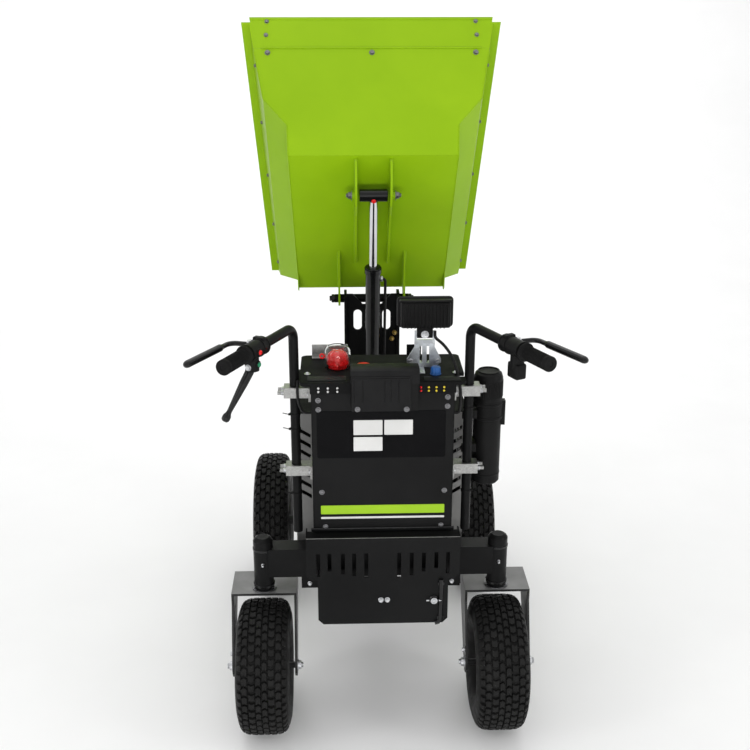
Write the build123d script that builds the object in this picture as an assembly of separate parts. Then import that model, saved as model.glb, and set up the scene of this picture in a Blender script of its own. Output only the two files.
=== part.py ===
from build123d import *
import os
from math import sin, cos, tan, radians, sqrt, atan2, degrees

os.makedirs("parts", exist_ok=True)

# ---------------------------------------------------------------- dimensions
# millimetres. x to the right, y forward (tipping side), z up from the ground.
# Lengths along y are counted from the rear caster axle while modelling and
# shifted by Y_MID on export, so the origin is under the middle of the machine.
Y_MID = 395.035

# rear casters
CASTER_X = 288.0          # swivel axis, left and right
CASTER_TRAIL = 60.0       # wheel axle behind the swivel axis
CASTER_R = 165.0
CASTER_W = 130.0
CASTER_RIM_R = 78.0
FORK_T = 6.0
FORK_HALF = 80.0
FORK_TOP = 351.0
STEM_R = 15.0
FIT = 0.05                # radial running clearance
HOUSING_R = 24.0
HOUSING_TOP = 492.0

# front drive wheels
DRIVE_Y = 700.0
DRIVE_X = 302.0
DRIVE_R = 205.0
DRIVE_W = 106.0
DRIVE_RIM_R = 102.0
AXLE_R = 15.0

# chassis
RAIL_IN, RAIL_OUT = 110.0, 150.0
RAIL_Z0, RAIL_Z1 = 345.0, 405.0
BEAM_Z0, BEAM_Z1 = 390.0, 465.0
BEAM_Y0, BEAM_Y1 = 40.0, 90.0

# body
HOUSE_X = 160.0
HOUSE_Y0, HOUSE_Y1 = -57.0, 125.0
HOUSE_Z0, HOUSE_Z1 = 465.0, 927.0
CASE_X = 207.0
CASE_Y0, CASE_Y1 = 128.0, 430.0
CASE_Z0, CASE_Z1 = 425.0, 787.0
SHEET = 3.0

# handlebars
BAR_X = 198.0
BAR_Y = 0.0
BAR_R = 11.0
BAR_Z = 1045.0
BAR_END = (328.0, -268.0)

# document tube beside the right handlebar
TUBE_X, TUBE_Y = 250.0, 58.0

# skip
TIP = 60.0                # how far the skip is tipped as stored, degrees
HINGE = (800.0, 881.0)    # y, z of the skip hinge
PIN_DROP = 45.0           # hinge pin below the skip's floor
SKIP_T = 4.0
FLOOR_L = 493.0
FLOOR_HALF = 226.0
TAPER = 0.0223            # how fast the skip narrows to the front
REAR_SLOPE = 60.0
FRONT_LEAN = 0.6
RIM_REAR_H, RIM_SLOPE = 263.0, 0.132
EXT_REAR_H, EXT_SLOPE = 322.0, 0.168
EXT_BACK_H = 341.0

# tipping cylinder
CYL_BASE = (760.0, 592.0)
EYE_R = 395.0             # hinge to rod eye
BARREL_R = 21.0
BARREL_L = 430.0
ROD_R = 11.5


# ------------------------------------------------------------------- helpers
def bx(x0, x1, y0, y1, z0, z1):
    return Pos((x0 + x1) / 2, (y0 + y1) / 2, (z0 + z1) / 2) * Box(
        abs(x1 - x0), abs(y1 - y0), abs(z1 - z0))


def rod(p, q, r):
    a, b = Vector(*p), Vector(*q)
    d = b - a
    return extrude(Plane(origin=a, z_dir=d.normalized()) * Circle(r), d.length)


def cylx(x0, x1, y, z, r):
    return rod((x0, y, z), (x1, y, z), r)


def cylz(x, y, z0, z1, r):
    return rod((x, y, z0), (x, y, z1), r)


def plate_x(pts, x0, x1):
    w = Wire.make_polygon([Vector(x0, y, z) for y, z in pts], close=True)
    return extrude(Face(w), x1 - x0, dir=(1, 0, 0))


def plate_y(pts, y0, y1):
    w = Wire.make_polygon([Vector(x, y0, z) for x, z in pts], close=True)
    return extrude(Face(w), y1 - y0, dir=(0, 1, 0))


def plate_z(pts, z0, z1):
    w = Wire.make_polygon([Vector(x, y, z0) for x, y in pts], close=True)
    return extrude(Face(w), z1 - z0, dir=(0, 0, 1))


def turned_x(pts, x, y, z):
    """Revolve a profile of (x, r) points about the x axis, then place it."""
    w = Wire.make_polygon([Vector(a, 0, r) for a, r in pts], close=True)
    return Pos(x, y, z) * revolve(Face(w), Axis.X, 360)


def turned_z(pts, x, y, z):
    w = Wire.make_polygon([Vector(r, 0, a) for r, a in pts], close=True)
    return Pos(x, y, z) * revolve(Face(w), Axis.Z, 360)


def turned_on(p, q, pts):
    """Revolve a profile of (r, along) points about the line from p towards q."""
    w = Wire.make_polygon([Vector(r, 0, a) for r, a in pts], close=True)
    return Plane(origin=Vector(*p), z_dir=(Vector(*q) - Vector(*p)).normalized()).location * revolve(Face(w), Axis.Z, 360)


def tube_path(pts, r, radii):
    path = FilletPolyline(*pts, radius=radii)
    sec = Plane(origin=path @ 0, z_dir=path % 0) * Circle(r)
    return sweep(sec, path=path), path.length


def mirror_x(s):
    return mirror(s, Plane.YZ)


def one(s):
    """A single clean solid out of a boolean result."""
    ss = s.solids()
    return ss[0] if len(ss) == 1 else Compound(children=list(ss))


# --------------------------------------------------- planes of the skip sheet
# skip coordinates: u forward along the floor from its rear fold, x right,
# h up from the floor's underside
A = radians(TIP)
FW = (cos(A), -sin(A))
UP = (sin(A), cos(A))
LIP = (HINGE[0] + PIN_DROP * UP[0], HINGE[1] + PIN_DROP * UP[1])
FOLD = (LIP[0] - FLOOR_L * FW[0], LIP[1] - FLOOR_L * FW[1])


def world(u, x, h):
    return Vector(x, FOLD[0] + u * FW[0] + h * UP[0],
                  FOLD[1] + u * FW[1] + h * UP[1])


def plane(nu, nx, nh, d):
    n = sqrt(nu * nu + nx * nx + nh * nh)
    return (nu / n, nx / n, nh / n, d / n)


def off(p, t):
    return (p[0], p[1], p[2], p[3] - t)


def meet(a, b, c):
    def det(m):
        return (m[0][0] * (m[1][1] * m[2][2] - m[1][2] * m[2][1])
                - m[0][1] * (m[1][0] * m[2][2] - m[1][2] * m[2][0])
                + m[0][2] * (m[1][0] * m[2][1] - m[1][1] * m[2][0]))
    m = [list(a[:3]), list(b[:3]), list(c[:3])]
    d = [a[3], b[3], c[3]]
    k = det(m)
    out = []
    for i in range(3):
        q = [row[:] for row in m]
        for j in range(3):
            q[j][i] = d[j]
        out.append(det(q) / k)
    return tuple(out)


COT = 1 / tan(radians(REAR_SLOPE))
P_FLOOR = plane(0, 0, -1, 0)
P_REAR = plane(-1, 0, -COT, 0)
P_FRONT = plane(1, 0, -FRONT_LEAN, FLOOR_L)
P_S1 = plane(TAPER, 1, -0.0267, FLOOR_HALF)
P_S2 = plane(TAPER, 1, -0.984, FLOOR_HALF + 2 - 0.984 * 75)
P_S3 = plane(TAPER, 1, -0.192, FLOOR_HALF + 64 - 0.192 * 138)
P_RIM = plane(RIM_SLOPE, 0, 1, RIM_REAR_H - RIM_SLOPE * 152)
P_EXT = plane(EXT_SLOPE, 0, 1, EXT_REAR_H - EXT_SLOPE * 152)


def flip(v):
    return (v[0], -v[1], v[2])


def sheet(outer, inner):
    """Closed panel between matching outer and inner outlines."""
    o = [world(*v) for v in outer]
    i = [world(*v) for v in inner]
    n = len(o)
    faces = [Face(Wire.make_polygon(o, close=True)),
             Face(Wire.make_polygon(i, close=True))]
    for k in range(n):
        m = (k + 1) % n
        faces.append(Face(Wire.make_polygon([o[k], o[m], i[m], i[k]], close=True)))
    s = Solid(Shell(faces))
    if s.volume < 0:
        s = Solid(Shell([-f for f in faces]))
    return s


CORNERS = {
    "f_r": (P_FLOOR, P_REAR, P_S1), "f_c": (P_FLOOR, P_FRONT, P_S1),
    "a_r": (P_REAR, P_S1, P_S2), "a_c": (P_FRONT, P_S1, P_S2),
    "b_r": (P_REAR, P_S2, P_S3), "b_c": (P_FRONT, P_S2, P_S3),
}
VO, VI = {}, {}
for name, ps in CORNERS.items():
    VO[name] = meet(*ps)
    VI[name] = meet(*[off(q, SKIP_T) for q in ps])
VO["t_r"], VI["t_r"] = meet(P_REAR, P_S3, P_RIM), meet(off(P_REAR, SKIP_T), off(P_S3, SKIP_T), P_RIM)
VO["t_c"], VI["t_c"] = meet(P_FRONT, P_S3, P_RIM), meet(off(P_FRONT, SKIP_T), off(P_S3, SKIP_T), P_RIM)


def panel(names):
    """names end in + for the right side and - for the left side."""
    o = [VO[n[:-1]] if n[-1] == "+" else flip(VO[n[:-1]]) for n in names]
    i = [VI[n[:-1]] if n[-1] == "+" else flip(VI[n[:-1]]) for n in names]
    return sheet(o, i)


def slab(a, b, c):
    """Hexahedron between three pairs of planes."""
    lo = [meet(a[0], b[i], c[j]) for i, j in ((0, 0), (1, 0), (1, 1), (0, 1))]
    hi = [meet(a[1], b[i], c[j]) for i, j in ((0, 0), (1, 0), (1, 1), (0, 1))]
    return sheet(lo, hi)


def skip_plate(pts, x0, x1):
    """Plate cut to a (u, h) outline, standing across x."""
    w = Wire.make_polygon([world(u, x0, h) for u, h in pts], close=True)
    return extrude(Face(w), x1 - x0, dir=(1, 0, 0))


parts = {}

# --------------------------------------------------------------------- chassis
rails = []
for s in (-1, 1):
    rails.append(bx(s * RAIL_IN, s * RAIL_OUT, BEAM_Y1, 900, RAIL_Z0, RAIL_Z1))
rails.append(bx(-RAIL_IN, RAIL_IN, 860, 900, RAIL_Z0, RAIL_Z1))
rails.append(bx(-RAIL_IN, RAIL_IN, 500, 540, RAIL_Z0, RAIL_Z1))
rails.append(bx(-RAIL_OUT, RAIL_OUT, 150, 190, RAIL_Z1, CASE_Z0))
rails.append(bx(-RAIL_OUT, RAIL_OUT, 370, 410, RAIL_Z1, CASE_Z0))
rails.append(bx(-RAIL_OUT, RAIL_OUT, 600, 900, RAIL_Z1, RAIL_Z1 + 6))
# tie-down eye on the front cross member
eye_plate = bx(-5, 5, 900, 926, 355, 395) + cylx(-5, 5, 926, 375, 20)
rails.append(eye_plate)
parts["chassis_rails"] = one((Part() + rails) - cylx(-6, 6, 926, 375, 9))

beam = bx(-CASTER_X, CASTER_X, BEAM_Y0, BEAM_Y1, BEAM_Z0, BEAM_Z1)
for s in (-1, 1):
    hx, hy = s * CASTER_X, CASTER_TRAIL
    tube = turned_z([(0, FORK_TOP + 6), (HOUSING_R, FORK_TOP + 6), (HOUSING_R, HOUSING_TOP - 9),
                     (HOUSING_R - 3, HOUSING_TOP - 4), (HOUSING_R - 9, HOUSING_TOP), (0, HOUSING_TOP)],
                    hx, hy, 0)
    beam = beam + tube
    beam = beam + bx(s * 155, s * 195, BEAM_Y0, BEAM_Y0 + 8, FORK_TOP + 8, BEAM_Z0)
for s in (-1, 1):
    beam = beam - cylz(s * CASTER_X, CASTER_TRAIL, FORK_TOP, 470, STEM_R + FIT)
parts["rear_beam"] = one(beam)

# drive axle: gear case, tubes, saddles under the rails, stub shafts
axle = cylx(-236, 236, DRIVE_Y, DRIVE_R, 32)
axle = axle + bx(-78, 78, DRIVE_Y - 85, DRIVE_Y + 85, 122, 292)
for s in (-1, 1):
    axle = axle + bx(s * (RAIL_IN + 3), s * (RAIL_OUT - 3), DRIVE_Y - 40, DRIVE_Y + 40, DRIVE_R, RAIL_Z0)
    axle = axle + cylx(s * 236, s * 336, DRIVE_Y, DRIVE_R, AXLE_R)
    axle = axle + cylx(s * 336, s * 344, DRIVE_Y, DRIVE_R, AXLE_R + 6)
parts["drive_axle"] = one(axle)
parts["drive_motor"] = one(rod((0, DRIVE_Y - 85, 215), (0, DRIVE_Y - 285, 215), 68)
                           + rod((0, DRIVE_Y - 285, 215), (0, DRIVE_Y - 297, 215), 58))

# tipping tower: two side plates, slotted cross plate, hinge pin, cylinder pin
z0 = RAIL_Z1 + 6
side_pts = [(668, z0), (868, z0), (852, 520), (826, 862), (824, 893), (812, 904), (788, 905),
            (764, 905), (752, 898), (752, 700), (700, 560)]
tower = plate_x(side_pts, 73, 81) + plate_x(side_pts, -81, -73)
tower = tower + bx(81, 128, 690, 850, z0, z0 + 8) + bx(-128, -81, 690, 850, z0, z0 + 8)
cross = plate_y([(-73, 716), (73, 716), (73, 905), (56, 905), (27, 874), (-27, 874), (-56, 905), (-73, 905)], 758, 764)
for s in (-1, 1):
    cross = cross - bx(s * 30, s * 54, 750, 770, 808, 846)
    for zc in (808, 846):
        cross = cross - rod((s * 42, 750, zc), (s * 42, 770, zc), 12)
tower = tower + cross
tower = tower + cylx(-108, 108, HINGE[0], HINGE[1], 12.5)
tower = tower + cylx(-73, 73, CYL_BASE[0], CYL_BASE[1], 10)
parts["tipping_tower"] = one(tower)

# ------------------------------------------------------------------------ body
def open_box(x, y0, y1, za, zb, t):
    return bx(-x, x, y0, y1, za, zb) - bx(-x + t, x - t, y0 + t, y1 - t, za + t, zb + 10)


house = open_box(HOUSE_X, HOUSE_Y0, HOUSE_Y1, HOUSE_Z0, HOUSE_Z1, SHEET)
parts["console_housing"] = one(house)

case = open_box(CASE_X, CASE_Y0, CASE_Y1, CASE_Z0, CASE_Z1, SHEET)
for k in range(7):
    zc = 560 + 27 * k
    for s in (-1, 1):
        # slanted louvres in the strips that stand out beside the console
        case = case - plate_y([(s * 168, zc), (s * 200, zc + 20), (s * 200, zc + 30), (s * 168, zc + 10)],
                              CASE_Y0 - 1, CASE_Y0 + SHEET + 1)
        # and long ones in the sides
        case = case - bx(s * (CASE_X - SHEET - 1), s * (CASE_X + 1), 200, 360, zc + 4, zc + 13)
parts["battery_case"] = one(case)
parts["battery_lid"] = one(bx(-CASE_X - 4, CASE_X + 4, CASE_Y0 - 2, CASE_Y1 + 4, CASE_Z1, CASE_Z1 + 3)
                           + bx(-CASE_X - 4, -CASE_X, CASE_Y0 - 2, CASE_Y1 + 4, CASE_Z1 - 14, CASE_Z1)
                           + bx(CASE_X, CASE_X + 4, CASE_Y0 - 2, CASE_Y1 + 4, CASE_Z1 - 14, CASE_Z1)
                           + bx(-CASE_X - 4, CASE_X + 4, CASE_Y1, CASE_Y1 + 4, CASE_Z1 - 14, CASE_Z1))
parts["battery_pack"] = bx(-190, 190, CASE_Y0 + 20, CASE_Y1 - 20, CASE_Z0 + SHEET, 690)

parts["rear_panel"] = one(bx(-157, 157, HOUSE_Y0 - 3, HOUSE_Y0, 569, 921))

# lower rear cover: wide vented band above, narrow apron below, edges turned in
cover_pts = [(-178, 566), (-178, 470), (-166, 458), (-152, 458), (-152, 352), (-140, 340),
             (140, 340), (152, 352), (152, 458), (166, 458), (178, 470), (178, 566)]
cover = plate_y(cover_pts, -94, -91)
cover = cover + bx(-178, 178, -91, HOUSE_Y0, 563, 566)
for s in (-1, 1):
    cover = cover + bx(s * 175, s * 178, -91, -40, 470, 566)
    cover = cover + bx(s * 149, s * 152, -91, -20, 352, 458)
SLOTS = [(-150, 468), (-124, 482), (-93, 474), (-67, 469), (-39, 464),
         (37, 464), (66, 469), (94, 478), (123, 486), (150, 472)]
for xs, zl in SLOTS:
    cover = cover - bx(xs - 4.5, xs + 4.5, -96, -89, zl, 527)
parts["lower_rear_cover"] = one(cover)

top = bx(-185, 185, -64, HOUSE_Y1 + 1, HOUSE_Z1, HOUSE_Z1 + 8)
top = fillet(top.edges().filter_by(Axis.Z), 14)
top = top - bx(163, 190, -30, -6, HOUSE_Z1 - 2, HOUSE_Z1 + 10)  # notch for the light's cable
top = top + bx(-162, 162, -64, -60, 909, HOUSE_Z1)  # lip over the rear panel's top edge
parts["console_top"] = one(top)
ZT = HOUSE_Z1 + 8
binn = plate_x([(-82, 875), (-64, 875), (-64, ZT), (-20, ZT), (-26, 964), (-74, 969), (-82, 962)], -69, 77)
parts["control_binnacle"] = one(binn)

# ------------------------------------------------------------------ handlebars
bar_len = sqrt((BAR_END[0] - BAR_X) ** 2 + (BAR_END[1] - BAR_Y) ** 2)
dx, dy = (BAR_END[0] - BAR_X) / bar_len, (BAR_END[1] - BAR_Y) / bar_len


def on_bar(s, side=1, z=BAR_Z):
    return (side * (BAR_X + dx * s), BAR_Y + dy * s, z)


bars, grips, levers, pods = [], [], [], []
for s in (-1, 1):
    t, _ = tube_path([(s * BAR_X, BAR_Y, 540), (s * BAR_X, BAR_Y, BAR_Z), on_bar(bar_len - 4, s)], BAR_R, 28)
    parts["left_handlebar" if s < 0 else "right_handlebar"] = one(t)
    g = rod(on_bar(209, s), on_bar(bar_len, s), 16.5) - rod(on_bar(200, s), on_bar(bar_len - 4, s), BAR_R)
    g = g + (rod(on_bar(209, s), on_bar(214, s), 20.5) - rod(on_bar(200, s), on_bar(220, s), BAR_R))
    grips.append(one(g))
    pod = rod(on_bar(136, s), on_bar(204, s), 19) - rod(on_bar(120, s), on_bar(215, s), BAR_R)
    pin = on_bar(182, s)
    pod = pod + (rod((pin[0], pin[1], BAR_Z - 42), (pin[0], pin[1], BAR_Z - 12), 15)
                 - rod(on_bar(120, s), on_bar(215, s), BAR_R))
    pods.append(one(pod))
    lv, _ = tube_path([(s * 272, -128, BAR_Z + 2), (s * 326, -113, BAR_Z + 2), (s * 352, -160, BAR_Z + 2)], 5.5, 20)
    lv = lv + turned_on((s * 342.0, -141.92, BAR_Z + 2), (s * 404, -254, BAR_Z + 2),
                        [(0, 0), (6.5, 0), (8, 5), (8, 118), (7.2, 122.5), (5.2, 126.4), (0, 128.6)])
    lv = lv - (rod(on_bar(120, s), on_bar(215, s), 19.0))
    levers.append(one(lv))
parts["grips"] = Compound(children=grips)
parts["switch_pods"] = Compound(children=pods)
parts["hand_levers"] = Compound(children=levers)

# tapered lever with a ball at its end, hung under the left pod
pb = on_bar(182, -1)
BRAKE = ((pb[0], pb[1], BAR_Z - 34), (-334, -206, 910))
bl = turned_on(BRAKE[0], BRAKE[1], [(0, 0), (7, 0), (9.5, 12), (9, 40), (5.2, 104), (6.0, 109), (8.4, 114), (9, 119),
                                    (8.4, 124), (5.6, 127.6), (0, 128.6)])
parts["brake_lever"] = one(bl - bx(-400, -200, -300, 0, BAR_Z - 42, BAR_Z))

clamps = []
for s in (-1, 1):
    for zc in (702, 894):
        c = bx(s * HOUSE_X, s * 222, -17, 17, zc - 12, zc + 12)
        c = c + bx(s * HOUSE_X, s * (HOUSE_X + 6), -30, 30, zc - 16, zc + 16)
        c = c - cylz(s * BAR_X, BAR_Y, zc - 30, zc + 30, BAR_R)
        for yb in (-13, 13):
            c = c + cylx(s * 222, s * 236, yb * 0.9, zc, 4.5)
        clamps.append(one(c))
parts["handlebar_clamps"] = Compound(children=clamps)

# ------------------------------------------------------------ things on top
parts["emergency_stop"] = one(turned_z(
    [(0, 0), (21, 0), (21, 7), (25, 10), (25, 24), (22, 32), (15, 37.5), (7, 40), (0, 41)], -100, 42, ZT))

light = bx(34, 164, 14, 62, 1026, 1100)
light = fillet(light.edges().filter_by(Axis.Y), 12)
parts["work_light"] = one(light + bx(80, 116, 30, 42, 1006, 1026))  # housing and its neck
lb = plate_y([(80, ZT), (120, ZT), (136, 946), (136, 954), (121, 984), (121, 1001), (75, 1001), (75, 984), (58, 954),
              (58, 946)], 34, 38)
for xs in (90, 106):
    lb = lb - bx(xs - 3, xs + 3, 30, 42, 946, 986)
lb = lb + bx(75, 80, 34, 38, 1001, 1022) + bx(116, 121, 34, 38, 1001, 1022)
lb = lb + bx(80, 120, 38, 62, ZT, ZT + 3)
parts["light_bracket"] = one(lb)

LIGHT_CABLE = [(120, 22, 1026), (120, 22, 1010), (138, 12, 998), (156, 0, 976), (166, -12, 950), (172, -19, 925),
               (176.5, -25, 897), (176.5, -25, 868), (174, -25, 846), (HOUSE_X, -25, 846)]
LEFT_CABLE = [(-190, -BAR_R, 922), (-190, -19, 920), (-191, -25, 902), (-190, -25, 876), (-180, -25, 850),
              (-HOUSE_X, -25, 850)]


def loose_radii(pts):
    """For each corner, 0.45 of the shorter run over the tangent of half the turn."""
    out = []
    for a, b, c in zip(pts, pts[1:], pts[2:]):
        u, v = Vector(*b) - Vector(*a), Vector(*c) - Vector(*b)
        out.append(0.45 * min(u.length, v.length) / tan(radians(u.get_angle(v)) / 2))
    return out


cable_len = []
cables = []
for pts in (LIGHT_CABLE, LEFT_CABLE):
    radii = loose_radii(pts)
    print("cable radii", [round(v, 1) for v in radii])
    cb, length = tube_path(pts, 3.5 if pts is LIGHT_CABLE else 3.0, radii)
    cables.append(one(cb))
    cable_len.append(length)
parts["console_cables"] = Compound(children=cables)

can = turned_z([(0, 638), (29, 638), (33, 643), (33, 801), (35, 801), (35, 846), (34, 848), (34, 902),
                (31, 912), (24, 916), (0, 916)], TUBE_X, TUBE_Y, 0)
for zc in (742, 826):
    can = can + bx(186, 220, BAR_Y + BAR_R, BAR_Y + BAR_R + 5, zc - 10, zc + 10)
    can = can + bx(214, 220, BAR_Y + BAR_R, TUBE_Y, zc - 10, zc + 10)
can = can + bx(TUBE_X + 32, TUBE_X + 41, TUBE_Y - 9, TUBE_Y + 9, 784, 844)
parts["document_tube"] = one(can)

# --------------------------------------------------------------------- casters
def tyre_profile(r, w, ri):
    h = w / 2
    d = r - ri
    return [(-h * 0.62, ri), (-h * 0.86, ri + d * 0.14), (-h, ri + d * 0.42), (-h * 0.98, ri + d * 0.62),
            (-h * 0.86, ri + d * 0.86), (-h * 0.66, ri + d * 0.97), (-h * 0.3, r), (h * 0.3, r),
            (h * 0.66, ri + d * 0.97), (h * 0.86, ri + d * 0.86), (h * 0.98, ri + d * 0.62), (h, ri + d * 0.42),
            (h * 0.86, ri + d * 0.14), (h * 0.62, ri)]


def rim_profile(ri, w, bore, disc_at):
    h = w / 2
    f = h * 0.62
    return [(-f, ri), (-f, ri - 9), (-f + 10, ri - 16), (disc_at - 5, ri - 20), (disc_at - 5, bore + 16),
            (-h * 0.56, bore + 14), (-h * 0.56, bore), (h * 0.56, bore), (h * 0.56, bore + 14),
            (disc_at + 3, bore + 16), (disc_at + 3, ri - 20), (f - 10, ri - 16), (f, ri - 9), (f, ri)]


for s, side in ((-1, "left"), (1, "right")):
    cx = s * CASTER_X
    leg = [(30, FORK_TOP), (140, FORK_TOP), (140, 320), (26, 158), (16, 144), (0, 138), (-16, 144),
           (-26, 158), (-26, 176), (30, 320)]
    fork = bx(cx - FORK_HALF, cx + FORK_HALF, 30, 140, FORK_TOP - FORK_T, FORK_TOP)
    fork = fork + plate_x(leg, cx - FORK_HALF, cx - FORK_HALF + FORK_T)
    fork = fork + plate_x(leg, cx + FORK_HALF - FORK_T, cx + FORK_HALF)
    fork = fork + cylz(cx, CASTER_TRAIL, FORK_TOP, 465, STEM_R)
    fork = fork + cylx(cx - FORK_HALF - 9, cx + FORK_HALF + 9, 0, CASTER_R, 8)
    parts[f"{side}_caster_fork"] = one(fork)
    parts[f"{side}_caster_rim"] = one(turned_x(rim_profile(CASTER_RIM_R, CASTER_W, 8 + FIT, 0), cx, 0, CASTER_R))
    parts[f"{side}_caster_tyre"] = one(turned_x(tyre_profile(CASTER_R, CASTER_W, CASTER_RIM_R), cx, 0, CASTER_R))
    wx = s * DRIVE_X
    parts[f"{side}_drive_rim"] = one(turned_x(rim_profile(DRIVE_RIM_R, DRIVE_W, AXLE_R + FIT, s * 10), wx, DRIVE_Y, DRIVE_R))
    parts[f"{side}_drive_tyre"] = one(turned_x(tyre_profile(DRIVE_R, DRIVE_W, DRIVE_RIM_R), wx, DRIVE_Y, DRIVE_R))

# -------------------------------------------------------------------- cylinder
EYE = (HINGE[0] - EYE_R * FW[0], HINGE[1] - EYE_R * FW[1])
cyl_len = sqrt((EYE[0] - CYL_BASE[0]) ** 2 + (EYE[1] - CYL_BASE[1]) ** 2)
cd = ((EYE[0] - CYL_BASE[0]) / cyl_len, (EYE[1] - CYL_BASE[1]) / cyl_len)


def on_cyl(s, x=0.0, n=0.0):
    """Point s along the cylinder from its base pin, n to its rear side."""
    return (x, CYL_BASE[0] + cd[0] * s - cd[1] * n, CYL_BASE[1] + cd[1] * s + cd[0] * n)


barrel = cylx(-26, 26, CYL_BASE[0], CYL_BASE[1], 22)
barrel = barrel + rod(on_cyl(10), on_cyl(BARREL_L - 14), BARREL_R)
barrel = barrel + rod(on_cyl(BARREL_L - 14), on_cyl(BARREL_L), BARREL_R + 3)
barrel = barrel + rod(on_cyl(BARREL_L - 34, 12), on_cyl(BARREL_L - 34, 24), 7)
barrel = barrel + rod(on_cyl(62, 12), on_cyl(62, 24), 7)
barrel = barrel - cylx(-60, 60, CYL_BASE[0], CYL_BASE[1], 10 + FIT)
barrel = barrel - rod(on_cyl(40), on_cyl(BARREL_L + 5), ROD_R + FIT)
parts["cylinder_barrel"] = one(barrel)
rd = rod(on_cyl(245), on_cyl(cyl_len), ROD_R)
rd = rd + cylx(-38, 38, EYE[0], EYE[1], 17)
rd = rd - cylx(-40, 40, EYE[0], EYE[1], 10.5)
parts["cylinder_rod"] = one(rd)
hose_pts = [on_cyl(BARREL_L - 34, 24), on_cyl(BARREL_L - 34, 35), on_cyl(62, 35), on_cyl(62, 24)]
hose, hose_len = tube_path(hose_pts, 4, 10.5)
parts["cylinder_hose"] = one(hose)

# ------------------------------------------------------------------------ skip
parts["skip_floor"] = panel(["f_r+", "f_c+", "f_c-", "f_r-"])
parts["skip_rear_wall"] = panel(["f_r+", "a_r+", "b_r+", "t_r+", "t_r-", "b_r-", "a_r-", "f_r-"])
parts["skip_front_wall"] = panel(["f_c+", "a_c+", "b_c+", "t_c+", "t_c-", "b_c-", "a_c-", "f_c-"])
for s, side in (("+", "right"), ("-", "left")):
    w = (panel(["f_r" + s, "f_c" + s, "a_c" + s, "a_r" + s])
         + panel(["a_r" + s, "a_c" + s, "b_c" + s, "b_r" + s])
         + panel(["b_r" + s, "b_c" + s, "t_c" + s, "t_r" + s]))
    parts[f"skip_{side}_wall"] = one(w)

side_ext = slab((P_RIM, P_EXT), (P_REAR, P_FRONT), (P_S3, off(P_S3, SKIP_T)))
lip = slab((off(P_EXT, 4), P_EXT), (P_REAR, P_FRONT), (off(P_S3, -20), P_S3))
ext_r = one(side_ext + lip)
ext_l = mirror_x(ext_r)
back = slab((P_RIM, plane(0, 0, 1, EXT_BACK_H)), (P_REAR, off(P_REAR, SKIP_T)),
            (off(P_S3, SKIP_T), off((P_S3[0], -P_S3[1], P_S3[2], P_S3[3]), SKIP_T)))
parts["skip_extension"] = one(Part() + [ext_r, ext_l, back])

lugs = []
lug_pts = [(FLOOR_L - 150, 0), (FLOOR_L - 3, 0), (FLOOR_L + 19, -34), (FLOOR_L - 10, -65), (FLOOR_L - 60, -44)]
for s in (-1, 1):
    g = skip_plate(lug_pts, s * 92, s * 98)
    p = world(FLOOR_L, 0, -PIN_DROP)
    g = g + cylx(s * 92, s * 98, p.Y, p.Z, 22)
    g = g - cylx(s * 80, s * 120, p.Y, p.Z, 12.5 + FIT)
    lugs.append(one(g))
eye_u = FLOOR_L - EYE_R
clevis_pts = [(8, 0), (FLOOR_L - 100, 0), (FLOOR_L - 112, -14), (eye_u + 70, -48), (eye_u + 20, -68),
              (eye_u - 20, -68), (eye_u - 58, -50), (8, -14)]
for s in (-1, 1):
    g = skip_plate(clevis_pts, s * 44, s * 50)
    p = world(eye_u, 0, -PIN_DROP)
    g = g + cylx(s * 50, s * 60, p.Y, p.Z, 11)
    lugs.append(one(g))
parts["skip_brackets"] = Compound(children=lugs)

# ---------------------------------------------------------------------- export
lo = [1e9] * 3
hi = [-1e9] * 3
for name, shape in parts.items():
    moved = Pos(0, -Y_MID, 0) * shape
    b = moved.bounding_box()
    for k, (a, c) in enumerate(((b.min.X, b.max.X), (b.min.Y, b.max.Y), (b.min.Z, b.max.Z))):
        lo[k], hi[k] = min(lo[k], a), max(hi[k], c)
    export_step(moved, f"parts/{name}.step")
print("nodes", len(parts))
print("box", [round(v, 2) for v in lo], [round(v, 2) for v in hi], "y middle", round((lo[1] + hi[1]) / 2, 2))
print("eye", EYE, "cylinder length", round(cyl_len, 2), "direction", cd)
print("fold", FOLD, "lip", LIP)
print("cable lengths", [round(v, 1) for v in cable_len], "hose length", round(hose_len, 1))
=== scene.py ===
import math
import bpy
import bmesh
from mathutils import Matrix, Vector


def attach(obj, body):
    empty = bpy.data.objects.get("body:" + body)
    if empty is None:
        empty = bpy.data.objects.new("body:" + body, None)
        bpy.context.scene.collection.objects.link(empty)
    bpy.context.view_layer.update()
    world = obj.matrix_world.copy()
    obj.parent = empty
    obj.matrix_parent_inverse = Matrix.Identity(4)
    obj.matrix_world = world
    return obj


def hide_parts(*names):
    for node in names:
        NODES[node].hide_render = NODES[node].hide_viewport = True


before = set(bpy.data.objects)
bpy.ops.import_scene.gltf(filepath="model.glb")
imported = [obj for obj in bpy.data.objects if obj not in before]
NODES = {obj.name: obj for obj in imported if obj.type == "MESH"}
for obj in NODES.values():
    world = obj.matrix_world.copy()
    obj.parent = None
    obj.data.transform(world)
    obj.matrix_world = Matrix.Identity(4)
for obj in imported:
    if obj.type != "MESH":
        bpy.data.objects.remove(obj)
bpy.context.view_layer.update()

# Lengths below are millimetres counted as in the part's source: y from the
# caster axle. P turns them into the row frame, in metres.
Y_MID = 395.035


def P(x, y, z):
    return Vector((x / 1000, (y - Y_MID) / 1000, z / 1000))


# ------------------------------------------------------------------ materials
def new_mat(name):
    m = bpy.data.materials.new(name)
    m.use_nodes = True
    nt = m.node_tree
    return m, nt, nt.nodes["Principled BSDF"]


def link(nt, a, b):
    nt.links.new(a, b)


def coords(nt):
    return nt.nodes.new("ShaderNodeTexCoord").outputs["Object"]


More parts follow.
